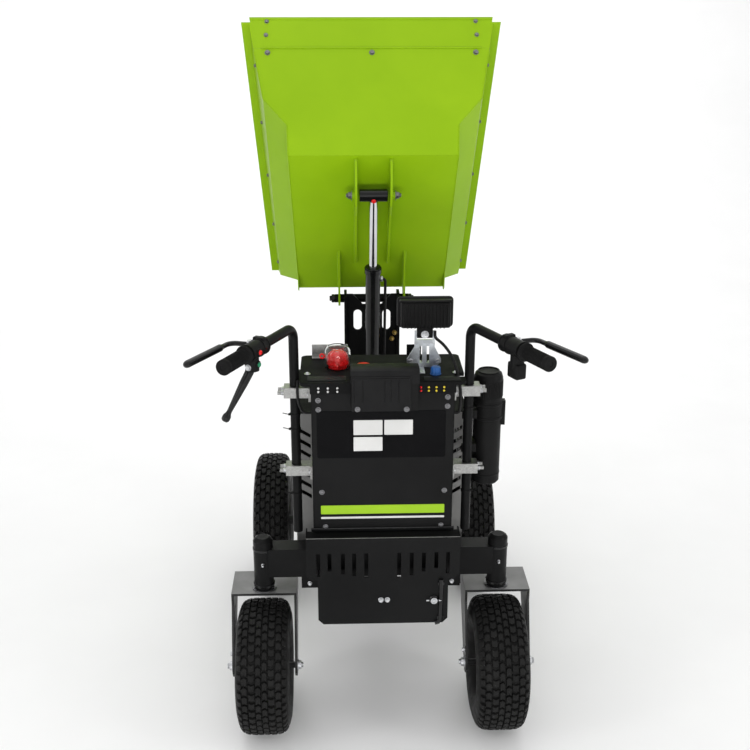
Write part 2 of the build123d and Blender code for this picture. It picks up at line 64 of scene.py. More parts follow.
def noise(nt, vec, scale, detail=4.0, rough=0.55):
    n = nt.nodes.new("ShaderNodeTexNoise")
    n.inputs["Scale"].default_value = scale
    n.inputs["Detail"].default_value = detail
    n.inputs["Roughness"].default_value = rough
    link(nt, vec, n.inputs["Vector"])
    return n.outputs["Fac"]


def ramp(nt, fac, stops):
    r = nt.nodes.new("ShaderNodeValToRGB")
    e = r.color_ramp.elements
    while len(e) < len(stops):
        e.new(0.5)
    for k, (pos, c) in enumerate(stops):
        e[k].position = pos
        e[k].color = (*c, 1) if len(c) == 3 else c
    link(nt, fac, r.inputs["Fac"])
    return r.outputs["Color"]


def grey(nt, fac, lo, hi, a=0.3, b=0.7):
    r = nt.nodes.new("ShaderNodeMapRange")
    r.inputs["From Min"].default_value = a
    r.inputs["From Max"].default_value = b
    r.inputs["To Min"].default_value = lo
    r.inputs["To Max"].default_value = hi
    link(nt, fac, r.inputs["Value"])
    return r.outputs["Result"]


def bump(nt, bs, heights, edge=0.0):
    """heights: (fac, strength, distance) put on top of each other."""
    normal = None
    if edge:
        b = nt.nodes.new("ShaderNodeBevel")
        b.samples = 4
        b.inputs["Radius"].default_value = edge
        normal = b.outputs["Normal"]
    for fac, strength, dist in heights:
        b = nt.nodes.new("ShaderNodeBump")
        b.inputs["Strength"].default_value = strength
        b.inputs["Distance"].default_value = dist
        link(nt, fac, b.inputs["Height"])
        if normal is not None:
            link(nt, normal, b.inputs["Normal"])
        normal = b.outputs["Normal"]
    if normal is not None:
        link(nt, normal, bs.inputs["Normal"])


def paint(name, dark, light, rough=(0.32, 0.42), peel=0.12, spec=0.2, edge=0.0012, metal=0.0):
    """Powder coat: cloudy tone, orange peel, uneven gloss."""
    m, nt, bs = new_mat(name)
    v = coords(nt)
    tone = noise(nt, v, 5.0, 5.0)
    link(nt, ramp(nt, tone, [(0.3, dark), (0.7, light)]), bs.inputs["Base Color"])
    link(nt, grey(nt, noise(nt, v, 22.0, 6.0), rough[0], rough[1]), bs.inputs["Roughness"])
    bump(nt, bs, [(noise(nt, v, 900.0, 2.0), peel, 0.0003), (noise(nt, v, 160.0, 3.0), peel * 0.6, 0.0006)], edge)
    bs.inputs["Metallic"].default_value = metal
    bs.inputs["Specular IOR Level"].default_value = spec
    return m


LIME = paint("lime_powder_coat", (0.225, 0.400, 0.0030), (0.255, 0.440, 0.0045), (0.34, 0.44), 0.10, 0.16)
BLACK = paint("black_powder_coat", (0.0040, 0.0041, 0.0042), (0.0070, 0.0071, 0.0072), (0.30, 0.40), 0.16, 0.09)
GLOSS_BLACK = paint("black_gloss_coat", (0.0035, 0.0036, 0.0038), (0.0060, 0.0062, 0.0064), (0.14, 0.22), 0.08, 0.32)
GREY = paint("grey_sheet", (0.200, 0.200, 0.196), (0.260, 0.258, 0.250), (0.40, 0.52), 0.15, 0.3, 0.0008, 0.35)
SEMI = paint("black_semigloss_coat", (0.0055, 0.0056, 0.0058), (0.0095, 0.0096, 0.0098), (0.28, 0.38), 0.10, 0.35)


def painted_top_reflection(m, tone):
    """Mix a lighter grey tone into a coat where the face looks up: a painted reflection of the bright surroundings on
    the top faces.
    """
    nt = m.node_tree
    bs = nt.nodes["Principled BSDF"]
    coat = bs.inputs["Base Color"].links[0].from_socket
    sep = nt.nodes.new("ShaderNodeSeparateXYZ")
    link(nt, nt.nodes.new("ShaderNodeNewGeometry").outputs["Normal"], sep.inputs["Vector"])
    up = grey(nt, sep.outputs["Z"], 0.0, 1.0, 0.9, 1.0)
    cloud = grey(nt, noise(nt, coords(nt), 14.0, 5.0), 0.6, 1.0)
    amount = nt.nodes.new("ShaderNodeMath")
    amount.operation = "MULTIPLY"
    link(nt, up, amount.inputs[0])
    link(nt, cloud, amount.inputs[1])
    mix = nt.nodes.new("ShaderNodeMix")
    mix.data_type = "RGBA"
    for i in mix.inputs:
        if i.name == "A" and i.type == "RGBA":
            link(nt, coat, i)
        if i.name == "B" and i.type == "RGBA":
            i.default_value = (*tone, 1)
    link(nt, amount.outputs[0], mix.inputs["Factor"])
    link(nt, [o for o in mix.outputs if o.type == "RGBA"][0], bs.inputs["Base Color"])


# caster forks: lighter grey on their up-facing faces is a painted reflection of the bright surroundings, uneven in
# strength
painted_top_reflection(SEMI, (0.24, 0.24, 0.238))
TEXTURED = paint("black_textured_coat", (0.0045, 0.0046, 0.0047), (0.0078, 0.0079, 0.0080), (0.58, 0.72), 0.35, 0.07)


def make_zinc(name, base, scale=240.0, rough=(0.26, 0.42)):
    m, nt, bs = new_mat(name)
    v = coords(nt)
    vo = nt.nodes.new("ShaderNodeTexVoronoi")
    vo.inputs["Scale"].default_value = scale
    link(nt, v, vo.inputs["Vector"])
    sep = nt.nodes.new("ShaderNodeSeparateColor")
    link(nt, vo.outputs["Color"], sep.inputs["Color"])
    lo = tuple(c * 0.72 for c in base)
    link(nt, ramp(nt, sep.outputs["Red"], [(0.0, lo), (1.0, base)]), bs.inputs["Base Color"])
    link(nt, grey(nt, noise(nt, v, 300.0, 4.0), rough[0], rough[1]), bs.inputs["Roughness"])
    bump(nt, bs, [(noise(nt, v, 700.0, 3.0), 0.1, 0.0002)], 0.0005)
    bs.inputs["Metallic"].default_value = 1.0
    return m


ZINC = make_zinc("zinc_plate", (0.72, 0.73, 0.75))
GALV = make_zinc("galvanised_sheet", (0.60, 0.63, 0.66), 130.0, (0.34, 0.50))
ALU = make_zinc("cast_aluminium", (0.42, 0.42, 0.41), 420.0, (0.38, 0.55))
STEEL = make_zinc("dull_steel", (0.27, 0.27, 0.28), 380.0, (0.36, 0.52))


def make_chrome():
    m, nt, bs = new_mat("hard_chrome")
    v = coords(nt)
    w = nt.nodes.new("ShaderNodeTexWave")
    w.bands_direction = "Z"
    w.inputs["Scale"].default_value = 420.0
    w.inputs["Distortion"].default_value = 2.0
    link(nt, v, w.inputs["Vector"])
    link(nt, grey(nt, w.outputs["Fac"], 0.10, 0.17, 0.0, 1.0), bs.inputs["Roughness"])
    link(nt, ramp(nt, noise(nt, v, 30.0), [(0.3, (0.62, 0.62, 0.64)), (0.7, (0.70, 0.70, 0.71))]), bs.inputs["Base Color"])
    bs.inputs["Metallic"].default_value = 1.0
    return m


CHROME = make_chrome()


def make_rubber(name, dark, light, grain=420.0, rough=(0.62, 0.82), spec=0.22):
    m, nt, bs = new_mat(name)
    v = coords(nt)
    link(nt, ramp(nt, noise(nt, v, 18.0, 6.0, 0.65), [(0.3, dark), (0.72, light)]), bs.inputs["Base Color"])
    link(nt, grey(nt, noise(nt, v, 60.0, 5.0), rough[0], rough[1]), bs.inputs["Roughness"])
    bump(nt, bs, [(noise(nt, v, grain, 4.0), 0.25, 0.0005)], 0.0006)
    bs.inputs["Specular IOR Level"].default_value = spec
    return m


TYRE = make_rubber("tyre_rubber", (0.0050, 0.0050, 0.0049), (0.0110, 0.0108, 0.0105), 500.0, (0.46, 0.68), 0.15)
RUBBER = make_rubber("grip_rubber", (0.0055, 0.0055, 0.0055), (0.0095, 0.0095, 0.0095), 700.0, (0.62, 0.82), 0.09)
HOSE = make_rubber("hose_rubber", (0.0045, 0.0045, 0.0045), (0.0080, 0.0080, 0.0080), 900.0, (0.42, 0.58))


def make_plastic(name, dark, light, rough=(0.38, 0.52), grain=650.0, strength=0.25, spec=0.35):
    m, nt, bs = new_mat(name)
    v = coords(nt)
    link(nt, ramp(nt, noise(nt, v, 9.0, 5.0), [(0.3, dark), (0.7, light)]), bs.inputs["Base Color"])
    link(nt, grey(nt, noise(nt, v, 40.0, 4.0), rough[0], rough[1]), bs.inputs["Roughness"])
    vo = nt.nodes.new("ShaderNodeTexVoronoi")
    vo.inputs["Scale"].default_value = grain
    link(nt, v, vo.inputs["Vector"])
    bump(nt, bs, [(vo.outputs["Distance"], strength, 0.0003)], 0.0006)
    bs.inputs["Specular IOR Level"].default_value = spec
    return m


PLASTIC = make_plastic("black_moulded_plastic", (0.0045, 0.0045, 0.0045), (0.0075, 0.0075, 0.0075), spec=0.10)
HOOD = make_plastic("hood_plastic", (0.0055, 0.0055, 0.0057), (0.0085, 0.0085, 0.0088), (0.46, 0.60), 600.0, 0.12, 0.14)
PLATE = make_plastic("dark_gloss_plate", (0.0022, 0.0022, 0.0026), (0.0036, 0.0036, 0.004), (0.14, 0.22), 500.0, 0.02, 0.04)
WHITE = make_plastic("white_print", (0.50, 0.50, 0.49), (0.56, 0.56, 0.55), (0.32, 0.42), 700.0, 0.05, 0.2)
STRIPE = make_plastic("lime_print", (0.225, 0.400, 0.0030), (0.255, 0.440, 0.0045), (0.3, 0.4), 700.0, 0.05)
RED = make_plastic("red_plastic", (0.56, 0.006, 0.008), (0.68, 0.010, 0.012), (0.22, 0.32), 500.0, 0.03)
GREEN = make_plastic("green_plastic", (0.01, 0.16, 0.07), (0.015, 0.21, 0.10), (0.25, 0.35), 500.0, 0.03)
BLUE = make_plastic("blue_plastic", (0.012, 0.075, 0.26), (0.018, 0.10, 0.33), (0.28, 0.4), 600.0, 0.08)
YELLOW = make_plastic("yellow_plastic", (0.52, 0.40, 0.02), (0.6, 0.46, 0.03), (0.3, 0.42), 600.0, 0.06)


def make_cast(name, dark, light):
    m, nt, bs = new_mat(name)
    v = coords(nt)
    link(nt, ramp(nt, noise(nt, v, 14.0, 6.0), [(0.3, dark), (0.7, light)]), bs.inputs["Base Color"])
    link(nt, grey(nt, noise(nt, v, 60.0, 5.0), 0.5, 0.68), bs.inputs["Roughness"])
    bump(nt, bs, [(noise(nt, v, 340.0, 4.0), 0.45, 0.0008)], 0.002)
    bs.inputs["Metallic"].default_value = 0.25
    return m


CAST = make_cast("cast_case", (0.022, 0.022, 0.023), (0.036, 0.036, 0.037))


def make_clear():
    m, nt, bs = new_mat("clear_guard")
    v = coords(nt)
    link(nt, grey(nt, noise(nt, v, 120.0), 0.04, 0.10), bs.inputs["Roughness"])
    bs.inputs["Base Color"].default_value = (0.93, 0.97, 0.93, 1)
    bs.inputs["Transmission Weight"].default_value = 1.0
    bs.inputs["IOR"].default_value = 1.30
    return m


CLEAR = make_clear()


def make_lens():
    m, nt, bs = new_mat("lamp_lens")
    v = coords(nt)
    w = nt.nodes.new("ShaderNodeTexVoronoi")
    w.inputs["Scale"].default_value = 90.0
    link(nt, v, w.inputs["Vector"])
    link(nt, ramp(nt, w.outputs["Distance"], [(0.0, (0.75, 0.77, 0.78)), (0.8, (0.40, 0.42, 0.44))]), bs.inputs["Base Color"])
    bump(nt, bs, [(w.outputs["Distance"], 0.6, 0.002)])
    bs.inputs["Roughness"].default_value = 0.12
    bs.inputs["Metallic"].default_value = 0.6
    bs.inputs["Coat Weight"].default_value = 1.0
    bs.inputs["Coat Roughness"].default_value = 0.04
    return m


LENS = make_lens()

NODE_MATS = {
    "chassis_rails": BLACK, "rear_beam": BLACK, "drive_axle": CAST, "drive_motor": CAST, "tipping_tower": BLACK,
    "console_housing": BLACK, "battery_case": GREY, "battery_lid": TEXTURED, "battery_pack": PLASTIC, "rear_panel": BLACK,
    "lower_rear_cover": BLACK, "console_top": TEXTURED, "control_binnacle": PLASTIC, "left_handlebar": BLACK,
    "right_handlebar": BLACK, "grips": RUBBER, "switch_pods": PLASTIC, "hand_levers": GLOSS_BLACK,
    "brake_lever": GLOSS_BLACK, "handlebar_clamps": ALU, "emergency_stop": RED, "work_light": PLASTIC,
    "light_bracket": GALV, "console_cables": HOSE, "document_tube": PLASTIC,
    "left_caster_fork": SEMI, "left_caster_rim": BLACK, "left_caster_tyre": TYRE,
    "right_caster_fork": SEMI, "right_caster_rim": BLACK, "right_caster_tyre": TYRE,
    "left_drive_rim": BLACK, "left_drive_tyre": TYRE, "right_drive_rim": BLACK, "right_drive_tyre": TYRE,
    "cylinder_barrel": GLOSS_BLACK, "cylinder_rod": CHROME, "cylinder_hose": HOSE,
    "skip_floor": LIME, "skip_rear_wall": LIME, "skip_front_wall": LIME, "skip_left_wall": LIME,
    "skip_right_wall": LIME, "skip_extension": LIME, "skip_brackets": LIME,
}
for name, m in NODE_MATS.items():
    slots = NODES[name].material_slots
    if len(slots) == 0:
        NODES[name].data.materials.append(m)
    for s in slots:
        s.material = m


# ------------------------------------------------------------------- geometry
def lathe(profile, n=32):
    """(radius, along) points turned about +Z; radius 0 closes the end."""
    v, f, rings = [], [], []
    for r, a in profile:
        if r < 1e-6:
            rings.append([len(v)])
            v.append((0, 0, a))
        else:
            rings.append(list(range(len(v), len(v) + n)))
            for k in range(n):
                t = 2 * math.pi * k / n
                v.append((r * math.cos(t), r * math.sin(t), a))
    for a, b in zip(rings, rings[1:]):
        for k in range(n):
            m = (k + 1) % n
            if len(a) == 1 and len(b) == 1:
                break
            if len(a) == 1:
                f.append((a[0], b[m], b[k]))
            elif len(b) == 1:
                f.append((a[k], a[m], b[0]))
            else:
                f.append((a[k], a[m], b[m], b[k]))
    if len(rings[0]) > 1:
        f.append(tuple(reversed(rings[0])))
    if len(rings[-1]) > 1:
        f.append(tuple(rings[-1]))
    return v, f


def ring_solid(profile, n=48):
    """Closed (radius, along) loop turned about +Z."""
    v, f = [], []
    c = len(profile)
    for k in range(n):
        t = 2 * math.pi * k / n
        for r, a in profile:
            v.append((r * math.cos(t), r * math.sin(t), a))
    for k in range(n):
        m = (k + 1) % n
        for j in range(c):
            i = (j + 1) % c
            f.append((k * c + j, m * c + j, m * c + i, k * c + i))
    return v, f


def from_bm(bm):
    bm.verts.ensure_lookup_table()
    bm.verts.index_update()
    v = [tuple(x.co) for x in bm.verts]
    f = [tuple(x.index for x in q.verts) for q in bm.faces]
    bm.free()
    return v, f


def rbox(sx, sy, sz, r=1.0, seg=2):
    """Box with rounded edges, centred."""
    bm = bmesh.new()
    bmesh.ops.create_cube(bm, size=1.0)
    bmesh.ops.scale(bm, vec=(sx, sy, sz), verts=bm.verts)
    bmesh.ops.bevel(bm, geom=list(bm.edges), offset=r, segments=seg, profile=0.5, affect="EDGES")
    return from_bm(bm)


def slabxy(pts, t, r=0.6, seg=2):
    """Plate with an outline in x and y, from z 0 to t, its edges rounded."""
    bm = bmesh.new()
    vs = [bm.verts.new((x, y, 0)) for x, y in pts]
    face = bm.faces.new(vs)
    if face.normal.z > 0:
        face.normal_flip()
    out = bmesh.ops.extrude_face_region(bm, geom=[face])
    bmesh.ops.translate(bm, vec=(0, 0, t), verts=[g for g in out["geom"] if isinstance(g, bmesh.types.BMVert)])
    bmesh.ops.recalc_face_normals(bm, faces=bm.faces)
    if r:
        bmesh.ops.bevel(bm, geom=list(bm.edges), offset=r, segments=seg, profile=0.5, affect="EDGES")
    return from_bm(bm)


def hex_ring(r_flat, limit, z, n=24):
    out = []
    for k in range(n):
        t = 2 * math.pi * k / n
        u = (t + math.pi / 6) % (math.pi / 3) - math.pi / 6
        out.append((min(r_flat / math.cos(u), limit), t, z))
    return out


def polar_stack(rings, n=24):
    v, f = [], []
    for ring in rings:
        for r, t, z in ring:
            v.append((r * math.cos(t), r * math.sin(t), z))
    for j in range(len(rings) - 1):
        for k in range(n):
            m = (k + 1) % n
            f.append((j * n + k, j * n + m, (j + 1) * n + m, (j + 1) * n + k))
    f.append(tuple(range(n - 1, -1, -1)))
    f.append(tuple(range((len(rings) - 1) * n, len(rings) * n)))
    return v, f


def join(*geos):
    v, f = [], []
    for gv, gf in geos:
        o = len(v)
        v += list(gv)
        f += [tuple(i + o for i in q) for q in gf]
    return v, f


def shift(geo, x=0, y=0, z=0):
    return [(a + x, b + y, c + z) for a, b, c in geo[0]], geo[1]


def turn(geo, m):
    return [tuple(m @ Vector(p)) for p in geo[0]], geo[1]


def hex_bolt(af=13.0, h=6.0, washer=11.0, wt=1.6):
    """Hexagon head on a washer, standing on z 0."""
    r = af / 2
    wash = lathe([(0, 0), (washer - 0.4, 0), (washer, 0.4), (washer, wt - 0.4), (washer - 0.4, wt), (0, wt)], 28)
    head = polar_stack([hex_ring(r, 99, wt), hex_ring(r, r * 1.13, wt + 0.2), hex_ring(r, r * 1.1547, wt + h * 0.25),
                        hex_ring(r, r * 1.1547, wt + h * 0.72), hex_ring(r, r * 1.02, wt + h),
                        [(r * 0.8, t, wt + h) for _, t, _ in hex_ring(r, 99, 0)],
                        [(r * 0.7, t, wt + h - 0.35) for _, t, _ in hex_ring(r, 99, 0)]])
    return join(wash, head)


def button_bolt(r=6.0, h=4.2, washer=8.5, wt=1.2):
    """Domed socket screw on a washer."""
    wash = lathe([(0, 0), (washer - 0.3, 0), (washer, 0.3), (washer, wt - 0.3), (washer - 0.3, wt), (0, wt)], 28)
    s = r * 0.42
    dome = [[(r, t, wt) for _, t, _ in hex_ring(1, 9, 0)],
            [(r, t, wt + h * 0.3) for _, t, _ in hex_ring(1, 9, 0)],
            [(r * 0.86, t, wt + h * 0.72) for _, t, _ in hex_ring(1, 9, 0)],
            [(r * 0.62, t, wt + h * 0.95) for _, t, _ in hex_ring(1, 9, 0)],
            hex_ring(s, 99, wt + h), hex_ring(s, 99, wt + h * 0.4)]
    return join(wash, polar_stack(dome))


def nut(af=16.0, h=8.0, thread=5.0, out=5.0):
    """Nut with the thread's end standing out of it."""
    r = af / 2
    body = polar_stack([hex_ring(r, r * 1.04, 0), hex_ring(r, r * 1.1547, h * 0.16), hex_ring(r, r * 1.1547, h * 0.84),
                        hex_ring(r, r * 1.04, h), [(thread + 0.6, t, h) for _, t, _ in hex_ring(r, 99, 0)]])
    prof = [(0, h - 1), (thread, h - 1)]
    k = 0
    z = h
    while z < h + out - 1.2:
        prof += [(thread, z), (thread - 0.6, z + 0.6)]
        z += 1.2
        k += 1
    prof += [(thread - 0.8, h + out), (0, h + out)]
    return join(body, lathe(prof, 20))


def sweep(pts, r, n=14, caps=True):
    """Round tube along points; r is a number or one radius per point."""
    pts = [Vector(p) for p in pts]
    rs = r if isinstance(r, (list, tuple)) else [r] * len(pts)
    tang = []
    for i in range(len(pts)):
        a = pts[max(i - 1, 0)]
        b = pts[min(i + 1, len(pts) - 1)]
        tang.append((b - a).normalized())
    ref = Vector((0, 0, 1)) if abs(tang[0].z) < 0.9 else Vector((1, 0, 0))
    u = tang[0].cross(ref).normalized()
    v, f = [], []
    for i, p in enumerate(pts):
        u = (u - tang[i] * u.dot(tang[i])).normalized()
        w = tang[i].cross(u)
        for k in range(n):
            t = 2 * math.pi * k / n
            v.append(tuple(p + (u * math.cos(t) + w * math.sin(t)) * rs[i]))
    for i in range(len(pts) - 1):
        for k in range(n):
            m = (k + 1) % n
            f.append((i * n + k, i * n + m, (i + 1) * n + m, (i + 1) * n + k))
    if caps:
        f.append(tuple(range(n - 1, -1, -1)))
        f.append(tuple(range((len(pts) - 1) * n, len(pts) * n)))
    return v, f


def frame_at(origin, z_dir, x_dir=None):
    """Matrix that puts local +Z along z_dir at origin, all in millimetres."""
    z = Vector(z_dir).normalized()
    x = Vector(x_dir) if x_dir is not None else (Vector((0, 0, 1)) if abs(z.z) < 0.9 else Vector((1, 0, 0)))
    x = (x - z * x.dot(z)).normalized()
    y = z.cross(x)
    m = Matrix.Identity(4)
    for i in range(3):
        m[i][0], m[i][1], m[i][2], m[i][3] = x[i], y[i], z[i], origin[i]
    return m


class Batch:
    """Many small shapes gathered into one mesh, in model millimetres."""

    def __init__(self, name, body, mat, slot=None, angle=35.0):
        self.name, self.body, self.mat, self.slot, self.angle = name, body, mat, slot, angle
        self.v, self.f = [], []

    def add(self, geo, m=None):
        o = len(self.v)
        self.v += [tuple(m @ Vector(p)) if m is not None else tuple(p) for p in geo[0]]
        self.f += [tuple(i + o for i in q) for q in geo[1]]
        return self

    def at(self, geo, origin, z_dir, x_dir=None):
        return self.add(geo, frame_at(origin, z_dir, x_dir))

    def build(self, replaces=()):
        me = bpy.data.meshes.new(self.name)
        me.from_pydata([tuple(P(*p)) for p in self.v], [], self.f)
        bm = bmesh.new()
        bm.from_mesh(me)
        bmesh.ops.recalc_face_normals(bm, faces=bm.faces)
        lim = math.radians(self.angle)
        for e in bm.edges:
            e.smooth = len(e.link_faces) == 2 and e.calc_face_angle(0) < lim
        for q in bm.faces:
            q.smooth = True
        bm.to_mesh(me)
        bm.free()
        me.materials.append(self.mat)
        o = bpy.data.objects.new(self.name, me)
        bpy.context.scene.collection.objects.link(o)
        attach(o, self.body)
        if replaces:
            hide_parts(*replaces)
        return o


def catmull(pts, per=6):
    """Smooth curve through points, closed ends repeated."""
    out = []
    q = [pts[0]] + list(pts) + [pts[-1]]
    for a, b, c, d in zip(q, q[1:], q[2:], q[3:]):
        for k in range(per):
            t = k / per
            out.append(tuple(0.5 * ((2 * b[i]) + (-a[i] + c[i]) * t + (2 * a[i] - 5 * b[i] + 4 * c[i] - d[i]) * t * t
                                    + (-a[i] + 3 * b[i] - 3 * c[i] + d[i]) * t ** 3) for i in range(len(b))))
    out.append(tuple(pts[-1]))
    return out


# ---------------------------------------------------------------------- tyres
def tyre(name, node, body, R, W, ri, cx, cy, depth, around, rows, slot="tyre_rubber"):
    """Carcass with raised tread blocks. rows: (w, half width, half length, shift, chevron)."""
    h, d = W / 2, R - ri
    half = [(0.0, R), (h * 0.3, R), (h * 0.66, ri + d * 0.97), (h * 0.86, ri + d * 0.86), (h * 0.975, ri + d * 0.62),
            (h * 0.99, ri + d * 0.42), (h * 0.86, ri + d * 0.14), (h * 0.62, ri)]
    right = catmull(half, 8)
    curve = [(-x, r) for x, r in reversed(right[1:])] + right
    curve = [(x, min(r, R)) for x, r in curve]
    # arc length from the crown, and normals
    mid = len(right) - 1
    w = [0.0] * len(curve)
    for i in range(mid + 1, len(curve)):
        w[i] = w[i - 1] + math.dist(curve[i], curve[i - 1])
    for i in range(mid - 1, -1, -1):
        w[i] = w[i + 1] - math.dist(curve[i], curve[i + 1])
    nor = []
    for i in range(len(curve)):
        a, b = curve[max(i - 1, 0)], curve[min(i + 1, len(curve) - 1)]
        t = Vector((b[0] - a[0], b[1] - a[1])).normalized()
        nor.append((-t.y, t.x))

    def on(ww):
        for i in range(len(w) - 1):
            if w[i] <= ww <= w[i + 1]:
                k = (ww - w[i]) / (w[i + 1] - w[i] + 1e-9)
                return ([curve[i][j] + (curve[i + 1][j] - curve[i][j]) * k for j in (0, 1)],
                        [nor[i][j] + (nor[i + 1][j] - nor[i][j]) * k for j in (0, 1)])
        return curve[-1], nor[-1]

    edge = max(r[0] + r[1] for r in rows)
    b = Batch(name, body, TYRE, slot, 28.0)
    seg = 120
    prof = []
    for i, (x, r) in enumerate(curve):
        k = min(1.0, max(0.0, (edge + 3 - abs(w[i])) / 6.0))
        prof.append((x - nor[i][0] * depth * k, r - nor[i][1] * depth * k))
    # rim flange ribs on the sidewall
    n = len(prof)
    prof += [(h * 0.50, ri + 2), (-h * 0.50, ri + 2)]
    c = len(prof)
    v, f = [], []
    for k in range(seg):
        t = 2 * math.pi * k / seg
        for x, r in prof:
            v.append((cx + x, cy + r * math.sin(t), R + r * math.cos(t)))
    for k in range(seg):
        m = (k + 1) % seg
        for j in range(c):
            i = (j + 1) % c
            f.append((k * c + j, k * c + i, m * c + i, m * c + j))
    b.add((v, f))
    # two raised rings on each sidewall
    for s in (-1, 1):
        for frac in (0.30, 0.56):
            rr = ri + d * frac
            xx = None
            for (x0, r0), (x1, r1) in zip(right, right[1:]):
                if min(r0, r1) <= rr <= max(r0, r1) and x0 > h * 0.7:
                    xx = x0 + (x1 - x0) * ((rr - r0) / (r1 - r0 + 1e-9))
            xx = (xx or h) - 0.8
            b.add(turn(ring_solid([(rr - 1.6, 0), (rr - 0.8, s * 1.0), (rr + 0.8, s * 1.0), (rr + 1.6, 0), (rr, s * -1.5)], 96),
                       Matrix.Translation((cx + s * xx, cy, R)) @ Matrix.Rotation(math.radians(90), 4, "Y")))
    pitch = 2 * math.pi / around
    for w0, hw, hl, sh, chev in rows:
        for side in ((-1, 1) if w0 > 0 else (1,)):
            outline = [(-hw, -hl), (0, -hl + chev), (hw, -hl), (hw, hl), (0, hl + chev), (-hw, hl)]
            for k in range(around):
                t0 = (k + sh + (0.5 if side < 0 and w0 > 0 else 0.0)) * pitch
                vv = []
                for lev, grow in ((depth + 1.5, 1.10), (1.0, 1.0), (0.0, 0.86)):
                    for a, s in outline:
                        (x, r), (nx, nr) = on(side * (w0 + a * grow))
                        rr = r - nr * lev
                        t = t0 + (s * grow) / R
                        vv.append((cx + x - nx * lev, cy + rr * math.sin(t), R + rr * math.cos(t)))
                q = len(outline)
                ff = []
                for j in (0, 1):
                    for i in range(q):
                        m = (i + 1) % q
                        ff.append((j * q + i, j * q + m, (j + 1) * q + m, (j + 1) * q + i))
                ff.append((2 * q, 2 * q + 1, 2 * q + 4, 2 * q + 5))
                ff.append((2 * q + 1, 2 * q + 2, 2 * q + 3, 2 * q + 4))
                b.add((vv, ff))
    return b.build([node])


CASTER_ROWS = [(7.6, 6.0, 8.6, 0.0, 4.0), (23.4, 7.2, 7.6, 0.5, -3.6), (40.2, 6.6, 8.4, 0.0, 3.0), (57.5, 8.0, 6.6, 0.5, -2.0)]
DRIVE_ROWS = [(7.2, 5.6, 11.0, 0.0, 4.6), (22.0, 6.6, 9.6, 0.5, -4.2), (37.0, 6.0, 10.8, 0.0, 3.0), (53.0, 7.5, 8.4, 0.5, -2.0)]
for s, side in ((-1, "left"), (1, "right")):
    tyre(f"{side}_caster_tread", f"{side}_caster_tyre", f"{side}_caster_wheel", 165.0, 130.0, 78.0, s * 288.0, 0.0,
         7.0, 44, CASTER_ROWS)
    tyre(f"{side}_drive_tread", f"{side}_drive_tyre", f"{side}_drive_wheel", 205.0, 106.0, 102.0, s * 302.0, 700.0,
         8.0, 44, DRIVE_ROWS)

# ---------------------------------------------------------------- rim details
for s, side in ((-1, "left"), (1, "right")):
    bolts = Batch(f"{side}_caster_wheel_bolts", f"{side}_caster_wheel", ZINC, "zinc")
    valve = Batch(f"{side}_caster_valve", f"{side}_caster_wheel", RUBBER, "grip_rubber")
    for face in (-1, 1):
        for k in range(4):
            t = math.pi / 4 + k * math.pi / 2
            bolts.at(hex_bolt(10, 4.5, 8, 1.2), (s * 288 + (3.0 if face > 0 else -5.0), 42 * math.cos(t), 165 + 42 * math.sin(t)), (face, 0, 0))
    bolts.build()
    valve.at(lathe([(0, 0), (5, 0), (4.6, 6), (3.4, 8), (3.2, 22), (2.6, 23), (0, 23)], 16), (s * 288 + s * 20, 0, 165 + 60), (s, 0, -0.25))
    valve.build()
    lug = Batch(f"{side}_drive_lug_nuts", f"{side}_drive_wheel", ZINC, "zinc")
    for k in range(5):
        t = math.pi / 2 + k * 2 * math.pi / 5
        lug.at(nut(17, 9, 5.5, 6), (s * 302 + s * 10 + (3.2 if s > 0 else -3.2), 700 + 56 * math.cos(t), 205 + 56 * math.sin(t)), (s, 0, 0))
    lug.build()
    cap = Batch(f"{side}_drive_hub_nut", f"{side}_drive_wheel", ZINC, "zinc")
    cap.at(lathe([(0, 0), (26, 0), (26, 3), (23, 8), (23, 10), (0, 10)], 32), (s * 302 + s * 30, 700, 205), (s, 0, 0))
    cap.build()

# ------------------------------------------------------------------- bolts etc
chassis_bolts = Batch("chassis_bolts", "chassis", ZINC, "zinc")
REAR = (0, -1, 0)
panel_screws = Batch("panel_screws", "chassis", STEEL, "zinc")
for x, z in ((-144, 893), (-144, 871), (144, 898), (144, 876), (-139, 668), (141, 669), (-132, 580), (135, 580)):
    panel_screws.at(button_bolt(4.4, 3.0, 6.2, 0.9), (x, -60, z), REAR)
for x, z in ((-57, 881), (51, 880)):
    panel_screws.at(button_bolt(4.4, 3.0, 6.2, 0.9), (x, -86, z), REAR)
panel_screws.build()
for x in (-5, 10):
    chassis_bolts.at(hex_bolt(9, 4.0, 6.4, 1.0), (x, -94, 404), REAR)
pin_nuts = Batch("hinge_pin_nuts", "chassis", GLOSS_BLACK, "black_paint")
for s in (-1, 1):
    chassis_bolts.at(hex_bolt(8, 4, 5.5, 1.0), (s * 175, 40, 372), REAR)
    pin_nuts.at(nut(22, 10, 8, 6), (s * 108, 800, 881), (s, 0, 0))
    for y in (720, 820):
        chassis_bolts.at(hex_bolt(13, 6, 11, 1.6), (s * 106, y, 419), (0, 0, 1))
    chassis_bolts.at(hex_bolt(13, 6, 13, 1.8), (s * 81, 760, 592), (s, 0, 0))
    for y in (160, 400):
        chassis_bolts.at(hex_bolt(13, 6, 10, 1.6), (s * 150, y, 375), (s, 0, 0))
    for y in (680, 720):
        chassis_bolts.at(hex_bolt(13, 6, 10, 1.6), (s * 147, y, 320), (s, 0, 0))
    for x, y in ((166 if s > 0 else -168, -3),):
        chassis_bolts.at(button_bolt(4.5, 3.2, 7.0, 1.0), (x, y, 935), (0, 0, 1))
    for zc in (702, 894):
        for yb in (-11.7, 11.7):
            chassis_bolts.at(nut(10, 6, 4.4, 3), (s * 222, yb, zc), (s, 0, 0))
        for yb in (-24, 24):
            chassis_bolts.at(button_bolt(3.6, 2.8, 5.2, 1.0), (s * 166, yb, zc), (s, 0, 0))
